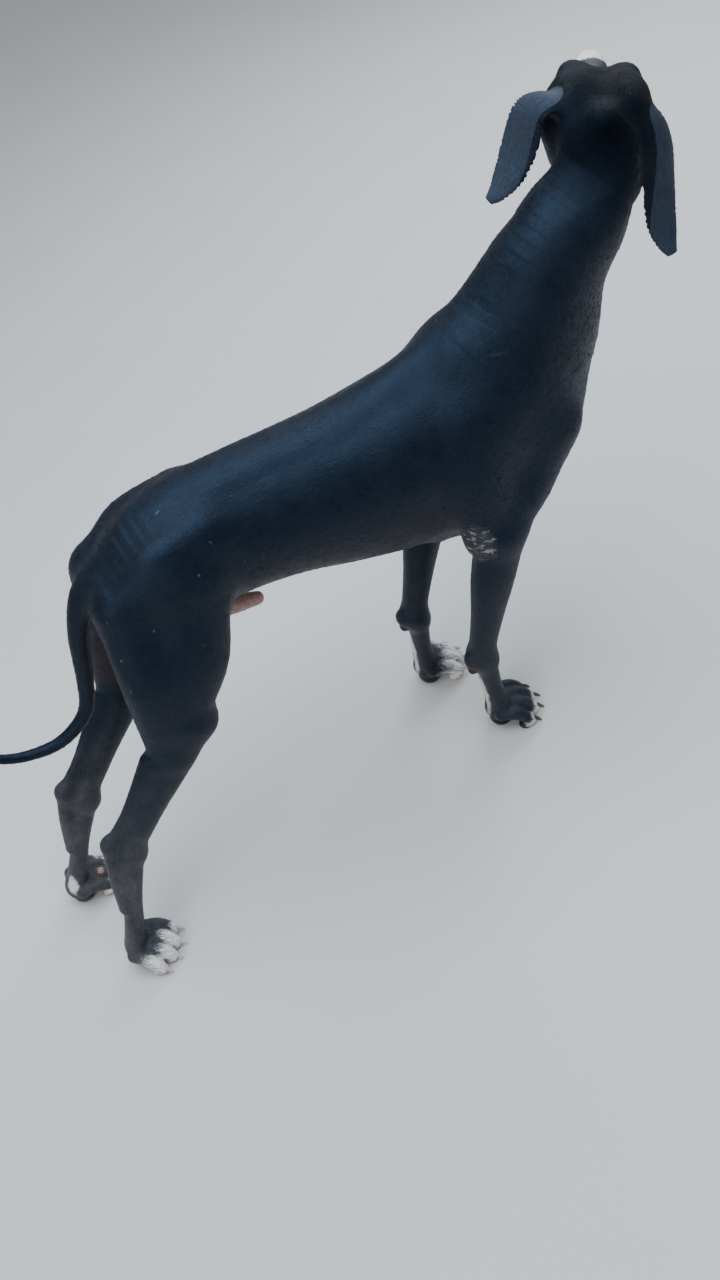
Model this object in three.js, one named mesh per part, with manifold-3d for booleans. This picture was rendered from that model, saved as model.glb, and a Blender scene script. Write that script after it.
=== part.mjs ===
// A life-size Great Dane, standing still and looking back over its left side, in millimetres, +Z up.
// The dog faces +X with its left side towards +Y, and its pads rest on the plane z = 0.
// The whole body is one smooth field, blended from tapered tubes and blobs that follow its bones and muscles.
// Each sub-part is that field inside its own stretch of the body, parted from the next one by a thin cut.

import * as THREE from 'three';
import { mergeVertices } from 'three/addons/utils/BufferGeometryUtils.js';
import Module from 'manifold-3d';

const wasm = await Module();
wasm.setup();

const vec = (x, y, z) => new THREE.Vector3(x, y, z);
const radians = THREE.MathUtils.degToRad;
const mix = (a, b, t) => a.clone().lerp(b, t);
const off = (point, x, y, z) => point.clone().add(vec(x, y, z));
const SIDES = [1, -1];
const LEFT = vec(0, 1, 0);

// Driving dimensions: the points of the skeleton, seen from the middle between the two hind paws

const GAP = 0.3;                 // space between two neighbouring sub-parts
const EYE_RADIUS = 13.5;
const GROIN = 20;                // half the width that the torso keeps between the thighs
const FORE_PAW = 0.94;           // sizes of the paws, against the drawn one
const HIND_PAW = 0.9;

const FORELEGS = {
  left: {
    side: 1, heading: 0, elbow: vec(902, 104, 450), carpus: vec(796, 88, 206),
    knuckle: vec(790, 100, 62), sole: vec(806, 106, 0),
  },
  right: {
    side: -1, heading: -18, elbow: vec(920, -104, 450), carpus: vec(843, -86, 206),
    knuckle: vec(848, -84, 62), sole: vec(864, -82, 0),
  },
};

const HINDLEGS = {
  left: {
    side: 1, heading: 10, hip: vec(400, 70, 670), stifle: vec(326, 98, 462),
    hock: vec(98, 74, 252), knuckle: vec(-14, 86, 52), sole: vec(-8, 88, 0),
  },
  right: {
    side: -1, heading: -36, hip: vec(410, -70, 670), stifle: vec(352, -98, 462),
    hock: vec(136, -90, 252), knuckle: vec(42, -116, 52), sole: vec(56, -118, 0),
  },
};

const CROWN = vec(1288, 0, 1026);
const HEAD_TURN = 56.6;          // degrees to the left, from straight ahead
const HEAD_ROLL = 16;            // degrees that the head leans to its right
const HEAD_DIP = -0.009;

const TAIL = [
  [vec(345, 0, 722), 26, 26], [vec(300, 0, 700), 22, 22], [vec(262, 0, 640), 17, 18],
  [vec(232, 0, 560), 14.5, 15], [vec(200, 0, 495), 13, 13], [vec(140, 2, 463), 11.5, 11.5],
  [vec(78, 4, 474), 10, 10], [vec(30, 6, 508), 8.5, 8.5], [vec(-20, 8, 552), 6, 6],
];

// A frame is an origin with axes f forwards, l to the left and u upwards, and at() finds a place in it

function frame(origin, forward, left = LEFT) {
  const f = forward.clone().normalize();
  const l = left.clone().addScaledVector(f, -left.dot(f)).normalize();
  const u = f.clone().cross(l);
  const at = (a, b, c) => origin.clone().addScaledVector(f, a).addScaledVector(l, b).addScaledVector(u, c);
  return { origin, f, l, u, at };
}

const WORLD = frame(vec(0, 0, 0), vec(1, 0, 0));
const lookout = vec(Math.cos(radians(HEAD_TURN)), Math.sin(radians(HEAD_TURN)), HEAD_DIP).normalize();
const level = vec(0, 0, 1).cross(lookout).normalize();
const HEAD = frame(CROWN, lookout, level.applyAxisAngle(lookout, radians(HEAD_ROLL)));

// Forms

const SAMPLE = 16;               // numbers kept for one cross-section: place, three axes, four half sizes

function curve(a, b, c, d, t) {
  const linear = (c - a) * t;
  const square = (2 * a - 5 * b + 4 * c - d) * t * t;
  const cube = (3 * b - a - 3 * c + d) * t * t * t;
  return 0.5 * (2 * b + linear + square + cube);
}

// A smooth tube through stations, each [point, half width, half height above, half height below]
function tube(stations, options = {}) {
  const { side = LEFT, sideEnd = side, blend = 18, carve = false, steps = 5, cap = 1, cup = 0 } = options;
  const rows = stations.map(([p, wide, up, down = up]) => [p.x, p.y, p.z, wide, up, down]);
  const last = rows.length - 1;
  const count = last < 2 ? 1 : steps;
  const fine = [];
  for (let i = 0; i < last; i += 1) {
    const before = rows[Math.max(i - 1, 0)];
    const after = rows[Math.min(i + 2, last)];
    for (let k = 0; k < count; k += 1) {
      fine.push(rows[0].map((_, j) => curve(before[j], rows[i][j], rows[i + 1][j], after[j], k / count)));
    }
  }
  fine.push(rows[last]);
  const points = fine.map(([x, y, z]) => vec(x, y, z));
  const centre = vec(0, 0, 0);
  for (const p of points) centre.addScaledVector(p, 1 / points.length);
  const data = new Float64Array(points.length * SAMPLE);
  const end = Math.max(points.length - 1, 1);
  let reach = 0;
  fine.forEach(([x, y, z, wide, up, down], i) => {
    const ahead = points[Math.min(i + 1, points.length - 1)];
    const t = ahead.clone().sub(points[Math.max(i - 1, 0)]).normalize();
    const s = mix(side, sideEnd, i / end);
    s.addScaledVector(t, -s.dot(t)).normalize();
    const u = t.clone().cross(s);
    const length = cap * Math.min(wide, (up + down) / 2);
    data.set([x, y, z, t.x, t.y, t.z, s.x, s.y, s.z, u.x, u.y, u.z, wide, up, down, length], i * SAMPLE);
    reach = Math.max(reach, points[i].distanceTo(centre) + Math.max(wide, up, down, length));
  });
  return { data, centre, reach, blend, carve, cup };
}

// An ellipsoid with half sizes along a frame's axes
function blob(point, long, wide, high, axes, options = {}) {
  const { f, l, u } = axes;
  const { blend = 18, carve = false } = options;
  const data = new Float64Array([
    point.x, point.y, point.z, f.x, f.y, f.z, l.x, l.y, l.z, u.x, u.y, u.z, wide, high, high, long,
  ]);
  return { data, centre: point.clone(), reach: Math.max(long, wide, high), blend, carve, cup: 0 };
}

// Roughly how far a place lies outside a form, or inside it where the answer is negative
const here = new Float64Array(SAMPLE);
function distance(form, x, y, z) {
  const { data } = form;
  let nearest = Infinity;
  let at = 0;
  let along = 0;
  for (let o = 0; o + SAMPLE < data.length; o += SAMPLE) {
    const bx = data[o + SAMPLE] - data[o];
    const by = data[o + SAMPLE + 1] - data[o + 1];
    const bz = data[o + SAMPLE + 2] - data[o + 2];
    const px = x - data[o];
    const py = y - data[o + 1];
    const pz = z - data[o + 2];
    const t = Math.min(Math.max((px * bx + py * by + pz * bz) / (bx * bx + by * by + bz * bz), 0), 1);
    const away = (px - t * bx) ** 2 + (py - t * by) ** 2 + (pz - t * bz) ** 2;
    if (away < nearest) {
      nearest = away;
      at = o;
      along = t;
    }
  }
  const next = data.length > SAMPLE ? at + SAMPLE : at;
  for (let j = 0; j < SAMPLE; j += 1) here[j] = data[at + j] + along * (data[next + j] - data[at + j]);
  const px = x - here[0];
  const py = y - here[1];
  const pz = z - here[2];
  const a = px * here[3] + py * here[4] + pz * here[5];
  const b = px * here[6] + py * here[7] + pz * here[8];
  const c = px * here[9] + py * here[10] + pz * here[11] - form.cup * b * b;
  const high = c > 0 ? here[13] : here[14];
  const size = Math.hypot(a / here[15], b / here[12], c / high);
  if (size < 1e-6) return -Math.min(here[12], high, here[15]);
  const slope = Math.hypot(a / here[15] ** 2, b / here[12] ** 2, c / high ** 2);
  return size * (size - 1) / slope;
}

// All the forms joined: each melts into those before it over its blend, and a carving form is taken away
function field(forms) {
  return (x, y, z) => {
    let d = 1e6;
    for (const form of forms) {
      const { centre, reach, blend, carve } = form;
      const gap = Math.hypot(x - centre.x, y - centre.y, z - centre.z) - reach;
      if (carve ? gap > blend - d : gap > d + blend) continue;
      const e = distance(form, x, y, z) * (carve ? -1 : 1);
      const h = Math.max(blend - Math.abs(d - e), 0) ** 2 / blend / 4;
      d = carve ? Math.max(d, e) + h : Math.min(d, e) - h;
    }
    return d;
  };
}

// Surface of the field, by marching tetrahedra over a grid in a frame, closed where the grid ends

const BLOCK = 6;                 // grid cells that are skipped together where the surface is far away
const MARGIN = 2.3;              // how far off counts as far, in half diagonals of such a block
const SOLO = [[0, 1, 2, 3], [1, 0, 3, 2], [2, 3, 0, 1], [3, 2, 1, 0]];
const PAIRS = {
  3: [0, 1, 2, 3], 5: [0, 2, 3, 1], 9: [0, 3, 1, 2], 6: [1, 2, 0, 3], 10: [1, 3, 2, 0], 12: [2, 3, 0, 1],
};
const ORDERS = [[0, 1, 1], [1, 2, 1], [2, 0, 1], [0, 2, -1], [2, 1, -1], [1, 0, -1]];
const PATHS = ORDERS.map(([first, second, sign]) => {
  const one = [0, 0, 0];
  one[first] = 1;
  const two = [...one];
  two[second] = 1;
  return { sign, path: [[0, 0, 0], one, two, [1, 1, 1]] };
});

function surface(forms, { axes, low, high }, cell) {
  const [nx, ny, nz] = low.map((start, i) => Math.ceil((high[i] - start) / cell) + 1);
  const values = new Float32Array(nx * ny * nz).fill(NaN);
  const index = (i, j, k) => i + nx * (j + ny * k);
  const place = (i, j, k) => axes.at(low[0] + i * cell, low[1] + j * cell, low[2] + k * cell);
  const whole = field(forms);
  const half = BLOCK * cell * Math.sqrt(3) / 2;
  const blocks = [];
  const cells = function* cells([i0, j0, k0], extra) {
    for (let k = k0; k < Math.min(k0 + BLOCK + extra, nz - 1 + extra); k += 1) {
      for (let j = j0; j < Math.min(j0 + BLOCK + extra, ny - 1 + extra); j += 1) {
        for (let i = i0; i < Math.min(i0 + BLOCK + extra, nx - 1 + extra); i += 1) yield [i, j, k];
      }
    }
  };
  const sample = (block) => {
    const middle = place(...block.map((c) => c + BLOCK / 2));
    const depth = whole(middle.x, middle.y, middle.z);
    const outermost = block.some((c, i) => c === 0 || c + BLOCK >= [nx, ny, nz][i] - 1);
    if (depth > MARGIN * half || (depth < -MARGIN * half && !outermost)) return;
    const close = field(forms.filter((f) => middle.distanceTo(f.centre) - f.reach < 2.5 * half + f.blend));
    for (const [i, j, k] of cells(block, 1)) {
      const at = index(i, j, k);
      if (!Number.isNaN(values[at])) continue;
      const p = place(i, j, k);
      const edge = i * j * k === 0 || i === nx - 1 || j === ny - 1 || k === nz - 1;
      const value = edge ? Math.max(close(p.x, p.y, p.z), cell / 2) : close(p.x, p.y, p.z);
      values[at] = Math.abs(value) < 1e-5 ? 1e-5 : value;
    }
    blocks.push(block);
  };
  for (let k = 0; k < nz - 1; k += BLOCK) {
    for (let j = 0; j < ny - 1; j += BLOCK) {
      for (let i = 0; i < nx - 1; i += BLOCK) sample([i, j, k]);
    }
  }

  const points = [];
  const triangles = [];
  const made = new Map();
  const vertex = (a, b) => {
    const [from, to] = index(...a) < index(...b) ? [a, b] : [b, a];
    const key = index(...from) * 8 + (to[0] - from[0]) + 2 * (to[1] - from[1]) + 4 * (to[2] - from[2]);
    if (!made.has(key)) {
      const start = values[index(...from)];
      const t = Math.min(0.9, Math.max(0.1, start / (start - values[index(...to)])));
      made.set(key, points.length);
      points.push(place(...from.map((c, i) => c + t * (to[i] - c))));
    }
    return made.get(key);
  };
  const tetrahedron = (spots, sign) => {
    const mask = spots.reduce((sum, spot, c) => sum + (values[index(...spot)] < 0 ? 1 << c : 0), 0);
    if (mask === 0 || mask === 15) return;
    const add = (a, b, c) => triangles.push(sign > 0 ? [a, b, c] : [a, c, b]);
    const edge = (a, b) => vertex(spots[a], spots[b]);
    const solo = [1, 2, 4, 8].indexOf(mask);
    const hole = [14, 13, 11, 7].indexOf(mask);
    if (solo >= 0) {
      const [a, b, c, d] = SOLO[solo];
      add(edge(a, b), edge(a, c), edge(a, d));
    } else if (hole >= 0) {
      const [a, b, c, d] = SOLO[hole];
      add(edge(a, b), edge(a, d), edge(a, c));
    } else {
      const [a, b, c, d] = PAIRS[mask];
      add(edge(a, c), edge(a, d), edge(b, d));
      add(edge(a, c), edge(b, d), edge(b, c));
    }
  };
  for (const block of blocks) {
    for (const [i, j, k] of cells(block, 0)) {
      const corners = [0, 1, 2, 3, 4, 5, 6, 7].filter((c) => (
        values[index(i + (c & 1), j + ((c >> 1) & 1), k + (c >> 2))] < 0));
      if (corners.length === 0 || corners.length === 8) continue;
      for (const { sign, path } of PATHS) {
        tetrahedron(path.map(([a, b, c]) => [i + a, j + b, k + c]), sign);
      }
    }
  }
  points.forEach((p) => settle(p, whole, cell));
  return { points: points.map((p) => p.toArray()), triangles };
}

// Moves a point onto the field's own surface, unless it is on the cut end of a grid
function settle(p, whole, cell) {
  const step = cell * 0.05;
  const d = whole(p.x, p.y, p.z);
  const slope = vec(
    whole(p.x + step, p.y, p.z) - d,
    whole(p.x, p.y + step, p.z) - d,
    whole(p.x, p.y, p.z + step) - d,
  ).divideScalar(step);
  const steep = slope.length();
  if (steep < 0.2 || Math.abs(d) > cell) return;
  const move = THREE.MathUtils.clamp(d / steep, -0.4 * cell, 0.4 * cell);
  p.addScaledVector(slope, -move / steep);
}

// Vectors as plain lists of three numbers, which the next function handles by the thousand

const minus = (a, b) => [a[0] - b[0], a[1] - b[1], a[2] - b[2]];
const dot = (a, b) => a[0] * b[0] + a[1] * b[1] + a[2] * b[2];
const cross = (a, b) => [a[1] * b[2] - a[2] * b[1], a[2] * b[0] - a[0] * b[2], a[0] * b[1] - a[1] * b[0]];
const facing = (a, b, c) => cross(minus(b, a), minus(c, a));

// The edges that may be closed up, cheapest first
class Queue {
  constructor() {
    this.list = [];
  }

  swap(i, j) {
    [this.list[i], this.list[j]] = [this.list[j], this.list[i]];
  }

  push(edge) {
    this.list.push(edge);
    let i = this.list.length - 1;
    while (i > 0 && this.list[(i - 1) >> 1].cost > this.list[i].cost) {
      this.swap(i, (i - 1) >> 1);
      i = (i - 1) >> 1;
    }
  }

  pop() {
    const { list } = this;
    const top = list[0];
    const end = list.pop();
    if (list.length === 0) return top;
    list[0] = end;
    let i = 0;
    for (let c = 1; c < list.length; c = 2 * i + 1) {
      if (c + 1 < list.length && list[c + 1].cost < list[c].cost) c += 1;
      if (list[i].cost <= list[c].cost) break;
      this.swap(i, c);
      i = c;
    }
    return top;
  }
}

// Closes up edges until `target` triangles are left, with the least harm to the shape.
// A larger weight at a place keeps more of its detail.
function simplify({ points, triangles }, target, weight) {
  const around = points.map(() => []);
  const quadrics = points.map(() => new Float64Array(10));
  const alive = triangles.map(() => true);
  const changes = new Uint32Array(points.length);
  const queue = new Queue();
  triangles.forEach((corners, i) => {
    const n = facing(...corners.map((v) => points[v]));
    const size = Math.sqrt(dot(n, n)) || 1e-12;
    const [x, y, z] = n.map((c) => c / size);
    const w = -dot([x, y, z], points[corners[0]]);
    const terms = [x * x, x * y, x * z, x * w, y * y, y * z, y * w, z * z, z * w, w * w];
    const share = size * weight(points[corners[0]]);
    for (const v of corners) {
      around[v].push(i);
      terms.forEach((term, k) => {
        quadrics[v][k] += term * share;
      });
    }
  });
  const harm = (q, [x, y, z]) => (
    q[0] * x * x + 2 * q[1] * x * y + 2 * q[2] * x * z + 2 * q[3] * x
    + q[4] * y * y + 2 * q[5] * y * z + 2 * q[6] * y + q[7] * z * z + 2 * q[8] * z + q[9]);
  const plan = (a, b) => {
    const q = quadrics[a].map((value, k) => value + quadrics[b][k]);
    const span = minus(points[a], points[b]);
    const middle = points[a].map((value, k) => (value + points[b][k]) / 2);
    const rows = [[q[0], q[1], q[2]], [q[1], q[4], q[5]], [q[2], q[5], q[7]]];
    const size = q[0] + q[4] + q[7];
    const turns = [cross(rows[1], rows[2]), cross(rows[2], rows[0]), cross(rows[0], rows[1])];
    const volume = dot(rows[0], turns[0]);
    let p = middle;
    if (Math.abs(volume) > 1e-5 * size ** 3) {
      const spot = [0, 1, 2].map((i) => (
        -(q[3] * turns[0][i] + q[6] * turns[1][i] + q[8] * turns[2][i]) / volume));
      const jump = minus(spot, middle);
      if (dot(jump, jump) < 4 * dot(span, span)) p = spot;
    }
    return { a, b, p, cost: harm(q, p) + 2e-6 * size * dot(span, span), age: changes[a] + changes[b] };
  };
  const rim = (v) => new Set(around[v].flatMap((i) => triangles[i]).filter((w) => w !== v));
  const folds = (v, other, p) => around[v].some((i) => {
    if (triangles[i].includes(other)) return false;
    const before = facing(...triangles[i].map((w) => points[w]));
    const moved = triangles[i].map((w) => (w === v ? p : points[w]));
    const after = facing(...moved);
    const size = Math.sqrt(dot(after, after));
    const edges = moved.map((corner, k) => minus(corner, moved[(k + 1) % 3]));
    const longest = Math.max(...edges.map((edge) => dot(edge, edge)));
    return dot(before, after) < 0.35 * size * Math.sqrt(dot(before, before)) || size < 0.04 * longest;
  });
  for (const [a, b, c] of triangles) {
    if (a < b) queue.push(plan(a, b));
    if (b < c) queue.push(plan(b, c));
    if (c < a) queue.push(plan(c, a));
  }
  let count = triangles.length;
  while (count > target && queue.list.length > 0) {
    const { a, b, p, age } = queue.pop();
    if (age !== changes[a] + changes[b] || around[a].length === 0 || around[b].length === 0) continue;
    const near = rim(b);
    const shared = [...rim(a)].filter((v) => near.has(v));
    if (shared.length !== 2 || rim(a).size + near.size < 7) continue;
    if (folds(a, b, p) || folds(b, a, p)) continue;
    points[a] = p;
    quadrics[b].forEach((value, k) => {
      quadrics[a][k] += value;
    });
    for (const i of around[b]) {
      if (triangles[i].includes(a)) {
        alive[i] = false;
        count -= 1;
        for (const v of triangles[i]) {
          if (v !== b) around[v] = around[v].filter((other) => other !== i);
        }
      } else {
        triangles[i][triangles[i].indexOf(b)] = a;
        around[a].push(i);
      }
    }
    around[b] = [];
    changes[a] += 1;
    changes[b] += 1;
    for (const v of rim(a)) queue.push(plan(a, v));
  }
  return { points, triangles: triangles.filter((_, i) => alive[i]) };
}

// Anatomy, in forms. Every form melts into those before it

function trunk() {
  const forms = [
    tube([
      [vec(345, 0, 690), 48, 44, 60], [vec(400, 0, 696), 80, 82, 94],
      [vec(470, 2, 690), 96, 102, 112], [vec(560, 6, 678), 104, 108, 116],
      [vec(650, 8, 664), 112, 112, 128], [vec(740, 8, 645), 120, 124, 146],
      [vec(830, 6, 632), 124, 140, 165], [vec(920, 3, 625), 118, 155, 178],
      [vec(1000, 0, 622), 106, 155, 172], [vec(1070, 0, 630), 88, 125, 130],
      [vec(1110, 0, 645), 62, 84, 82],
    ], { blend: 10, cap: 0.6 }),
    // ridge of the back, from the rump to the withers
    tube([
      [vec(380, 0, 744), 24, 14], [vec(480, 2, 772), 30, 16], [vec(600, 5, 764), 28, 14],
      [vec(740, 6, 750), 26, 14], [vec(850, 3, 760), 24, 18], [vec(945, 0, 780), 22, 22],
      [vec(1030, 0, 800), 26, 24], [vec(1100, -8, 846), 30, 20],
    ], { blend: 36 }),
  ];
  for (const s of SIDES) {
    // shoulder blade
    forms.push(tube([
      [vec(958, s * 36, 768), 18, 28], [vec(1010, s * 72, 700), 26, 50], [vec(1074, s * 88, 605), 27, 40],
    ], { blend: 40 }));
    // upper arm, and the muscle behind it
    forms.push(tube([
      [vec(1070, s * 86, 600), 31, 40], [vec(1000, s * 98, 530), 32, 48], [vec(930, s * 102, 470), 32, 38],
    ], { blend: 36 }));
    forms.push(tube([
      [vec(945, s * 84, 690), 28, 48], [vec(918, s * 102, 590), 32, 52], [vec(905, s * 106, 495), 27, 32],
    ], { blend: 40 }));
    // breast
    forms.push(tube([
      [vec(1096, s * 34, 590), 36, 46], [vec(1030, s * 44, 505), 36, 38], [vec(930, s * 50, 474), 36, 32],
    ], { blend: 36 }));
    // haunch
    forms.push(tube([
      [vec(500, s * 62, 736), 26, 34], [vec(420, s * 72, 714), 32, 54], [vec(352, s * 60, 692), 32, 42],
    ], { blend: 40 }));
  }
  // keel of the breast
  forms.push(tube([
    [vec(1066, 0, 522), 38, 38, 32], [vec(970, 0, 484), 44, 40, 32], [vec(860, 2, 486), 46, 36, 30],
  ], { blend: 40 }));
  // sheath under the belly
  forms.push(tube([
    [vec(405, 0, 580), 16, 16], [vec(476, 0, 544), 18, 19], [vec(532, 0, 522), 12, 13],
  ], { blend: 28 }));
  return forms;
}

function neck() {
  return [tube([
    [vec(998, -8, 660), 106, 132, 160], [vec(1082, -14, 750), 98, 112, 153],
    [vec(1148, -24, 834), 81, 92, 104],
    [vec(1202, -32, 890), 76, 70, 84], [vec(1240, -36, 922), 60, 46, 62],
  ], { sideEnd: mix(LEFT, HEAD.l, 0.5), blend: 50 })];
}

function tail() {
  return [tube(TAIL, { blend: 26 })];
}

function foreleg({ elbow, carpus, knuckle, side }) {
  const stop = off(carpus, -24, side * 3, 2);
  return [
    // forearm
    tube([
      [off(elbow, 6, 0, 18), 36, 50, 42], [mix(elbow, carpus, 0.28), 34, 43, 40],
      [mix(elbow, carpus, 0.6), 29, 33, 30], [mix(elbow, carpus, 0.85), 27, 28, 25], [carpus, 29, 29, 25],
    ], { blend: 26 }),
    // point of the elbow
    blob(off(elbow, -34, side * 2, 30), 17, 15, 22, WORLD, { blend: 22 }),
    // wrist, with its pad behind
    blob(off(carpus, 4, 0, -8), 26, 30, 32, WORLD, { blend: 16 }),
    blob(stop, 11, 13, 18, WORLD, { blend: 12 }),
    blob(off(stop, -1, 0, -24), 9, 10, 11, WORLD, { blend: 8 }),
    // pastern
    tube([
      [off(carpus, 3, 0, -20), 27, 25, 19], [mix(carpus, knuckle, 0.6), 25, 22, 17], [knuckle, 31, 25, 19],
    ], { blend: 14 }),
  ];
}

function hindleg({ hip, stifle, hock, knuckle, side }) {
  const heel = off(hock, -24, 0, 34);
  return [
    // front and back of the thigh
    tube([
      [off(hip, 30, side * 8, 10), 40, 58, 60], [off(mix(hip, stifle, 0.5), 14, side * 8, 0), 46, 58, 66],
      [off(stifle, -10, side * 2, 12), 34, 32, 42],
    ], { blend: 40 }),
    tube([
      [vec(332, side * 56, 690), 34, 36], [off(mix(hip, stifle, 0.55), -62, side * 8, 10), 38, 44],
      [off(mix(stifle, hock, 0.25), -14, side * 2, 10), 26, 34],
    ], { blend: 40 }),
    // knee
    blob(off(stifle, 0, 0, -2), 29, 30, 38, WORLD, { blend: 24 }),
    // shank
    tube([
      [off(stifle, -10, 0, -6), 34, 35, 40], [mix(stifle, hock, 0.3), 32, 33, 40],
      [mix(stifle, hock, 0.65), 25, 25, 29], [hock, 21, 23, 22],
    ], { blend: 26 }),
    // tendon to the heel
    tube([
      [off(mix(stifle, heel, 0.35), -18, 0, 14), 18, 22], [off(mix(stifle, heel, 0.75), -4, 0, 6), 8, 11],
      [heel, 12, 13],
    ], { blend: 14 }),
    // thin skin between the tendon and the bone
    tube([
      [mix(mix(stifle, hock, 0.6), mix(stifle, heel, 0.6), 0.6), 10, 17], [mix(hock, heel, 0.6), 10, 15],
    ], { blend: 10 }),
    // hock and heel
    blob(off(hock, 1, 0, -4), 27, 25, 32, WORLD, { blend: 16 }),
    tube([
      [off(heel, 2, 0, 4), 13, 14], [mix(heel, knuckle, 0.3), 16, 16], [mix(heel, knuckle, 0.62), 13, 13],
    ], { blend: 16 }),
    // pastern
    tube([
      [off(hock, -4, 0, -16), 21, 22, 21], [mix(hock, knuckle, 0.55), 18, 18, 17], [knuckle, 28, 23, 19],
    ], { blend: 14 }),
  ];
}

// each toe: place across, length ahead, spread
const TOES = [[-34, 22, -7], [-12, 36, -2], [12, 36, 2], [34, 22, 7]];

function paw({ sole, heading }, size) {
  const axes = frame(sole, vec(Math.cos(radians(heading)), Math.sin(radians(heading)), 0));
  const at = (a, b, c) => axes.at(a * size, b * size, c * size);
  const forms = [blob(at(-10, 0, 36), 34 * size, 38 * size, 26 * size, axes, { blend: 16 })];
  for (const [across, ahead, spread] of TOES) {
    const along = (a, c) => at(a, across + spread * (a - ahead + 30) / 40, c);
    const toe = [[-36, 46, 14, 14], [-8, 43, 15.5, 15], [10, 28, 15, 14], [19, 16, 12, 11]];
    const claw = [[22, 19, 5, 6], [32, 14, 4, 5], [38, 7, 2.2, 2.4]];
    const lay = (rows) => rows.map(([a, c, wide, high]) => [along(ahead + a, c), wide * size, high * size]);
    forms.push(tube(lay(toe), { side: axes.l, blend: 7 }));
    forms.push(blob(along(ahead + 8, 7), 16 * size, 13 * size, 10 * size, axes, { blend: 5 }));
    forms.push(tube(lay(claw), { side: axes.l, blend: 2 }));
  }
  forms.push(blob(at(-14, 0, 10), 25 * size, 30 * size, 13 * size, axes, { blend: 8 }));
  return forms;
}

// The eye looks ahead and outwards from a socket in the head
function eye(s) {
  const out = radians(30);
  const gaze = HEAD.f.clone().multiplyScalar(Math.cos(out)).addScaledVector(HEAD.l, s * Math.sin(out));
  return frame(HEAD.at(93, s * 41, -47), gaze.addScaledVector(HEAD.u, 0.06), HEAD.l);
}

// An arc over the eyeball, from its inner to its outer corner, that rises by an angle in the middle
function lid(s, rise, lift, wide, high) {
  const { at } = eye(s);
  const reach = EYE_RADIUS + lift;
  const stations = [-1, -0.5, 0, 0.5, 1].map((t) => {
    const across = radians(62 * t);
    const up = radians(rise * (1 - t * t) - 6);
    const ahead = reach * Math.cos(across) * Math.cos(up);
    return [at(ahead, reach * Math.sin(across) * Math.cos(up), reach * Math.sin(up)), wide, high];
  });
  return tube(stations, { side: HEAD.u, blend: 5 });
}

function head() {
  const { at, l } = HEAD;
  const forms = [];
  const add = (rows, options) => {
    forms.push(tube(rows.map(([a, b, c, ...sizes]) => [at(a, b, c), ...sizes]), { side: l, ...options }));
  };
  const round = (a, b, c, long, wide, high, options) => {
    forms.push(blob(at(a, b, c), long, wide, high, HEAD, options));
  };
  // skull and the bump behind it
  add([
    [-40, 0, -56, 54, 42, 46], [10, 0, -50, 69, 49, 56], [62, 0, -49, 70, 47, 54], [102, 0, -58, 53, 40, 44],
  ], { blend: 44, cap: 0.8 });
  round(-50, 0, -20, 20, 16, 12, { blend: 30 });
  // muzzle and the bridge of the nose
  add([
    [92, 0, -80, 42, 36, 46], [150, 0, -85, 37, 40, 46], [210, 0, -88, 35, 38, 44], [236, 0, -88, 33, 36, 38],
  ], { blend: 24, cap: 0.5 });
  add([[104, 0, -52, 22, 13], [180, 0, -56, 22, 12], [246, 0, -61, 20, 12]], { blend: 18 });
  // lower jaw and chin
  add([
    [10, 0, -114, 34, 20, 24], [90, 0, -126, 28, 16, 18],
    [180, 0, -130, 24, 14, 16], [220, 0, -127, 20, 13, 14],
  ], { blend: 18 });
  for (const s of SIDES) {
    round(36, s * 36, -26, 60, 32, 25, { blend: 24 });
    // cheek bone and cheek
    add([[108, s * 50, -64, 11, 12], [68, s * 63, -60, 13, 17], [10, s * 66, -62, 13, 18]], { blend: 30 });
    round(34, s * 48, -92, 48, 20, 36, { blend: 30 });
    // brow
    round(94, s * 39, -19, 22, 20, 14, { blend: 18 });
    // hanging upper lip
    add([
      [98, s * 35, -106, 9, 16], [130, s * 37, -114, 10, 25], [172, s * 36, -117, 11, 29],
      [214, s * 30, -114, 12, 28], [240, s * 18, -105, 12, 24], [248, s * 8, -98, 9, 18],
    ], { blend: 14 });
    // line of the mouth, under the lip and up to its corner
    add([
      [82, s * 42, -108, 2.6, 2.6], [100, s * 41, -124, 2.8, 2.8], [130, s * 40, -138, 3, 3],
      [176, s * 36, -146, 3, 3], [212, s * 28, -143, 3, 3], [238, s * 14, -131, 3, 3], [247, 0, -124, 3, 3],
    ], { blend: 4, carve: true });
    // hollow in front of the eye, the skin over the eyeball and the opening between the lids
    round(126, s * 44, -62, 12, 6, 7, { blend: 20, carve: true });
    const { origin, at: eyeAt } = eye(s);
    forms.push(blob(origin, EYE_RADIUS + 3, EYE_RADIUS + 3, EYE_RADIUS + 3, HEAD, { blend: 12 }));
    forms.push(blob(eyeAt(EYE_RADIUS + 2, 0, -1), 9, 14, 8.5, eye(s), { blend: 3, carve: true }));
    forms.push(lid(s, 44, 2.4, 2.6, 3.4));
    forms.push(lid(s, -32, 1.6, 2.2, 2.6));
  }
  // groove between the two sides of the upper lip
  add([
    [268, 0, -84, 1.6, 2.6], [262, 0, -98, 1.6, 2.6], [256, 0, -112, 1.6, 2.6],
  ], { blend: 5, carve: true });
  // nose
  round(253, 0, -66, 16, 22, 18, { blend: 7 });
  for (const s of SIDES) {
    round(259, s * 14, -69, 10, 9, 11, { blend: 6 });
    round(271, s * 9, -67, 8, 4.2, 4.4, { blend: 3, carve: true });
    add([[268, s * 14, -69, 2, 3], [258, s * 23, -74, 1.6, 2.4]], { blend: 3, carve: true });
  }
  return forms;
}

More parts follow.
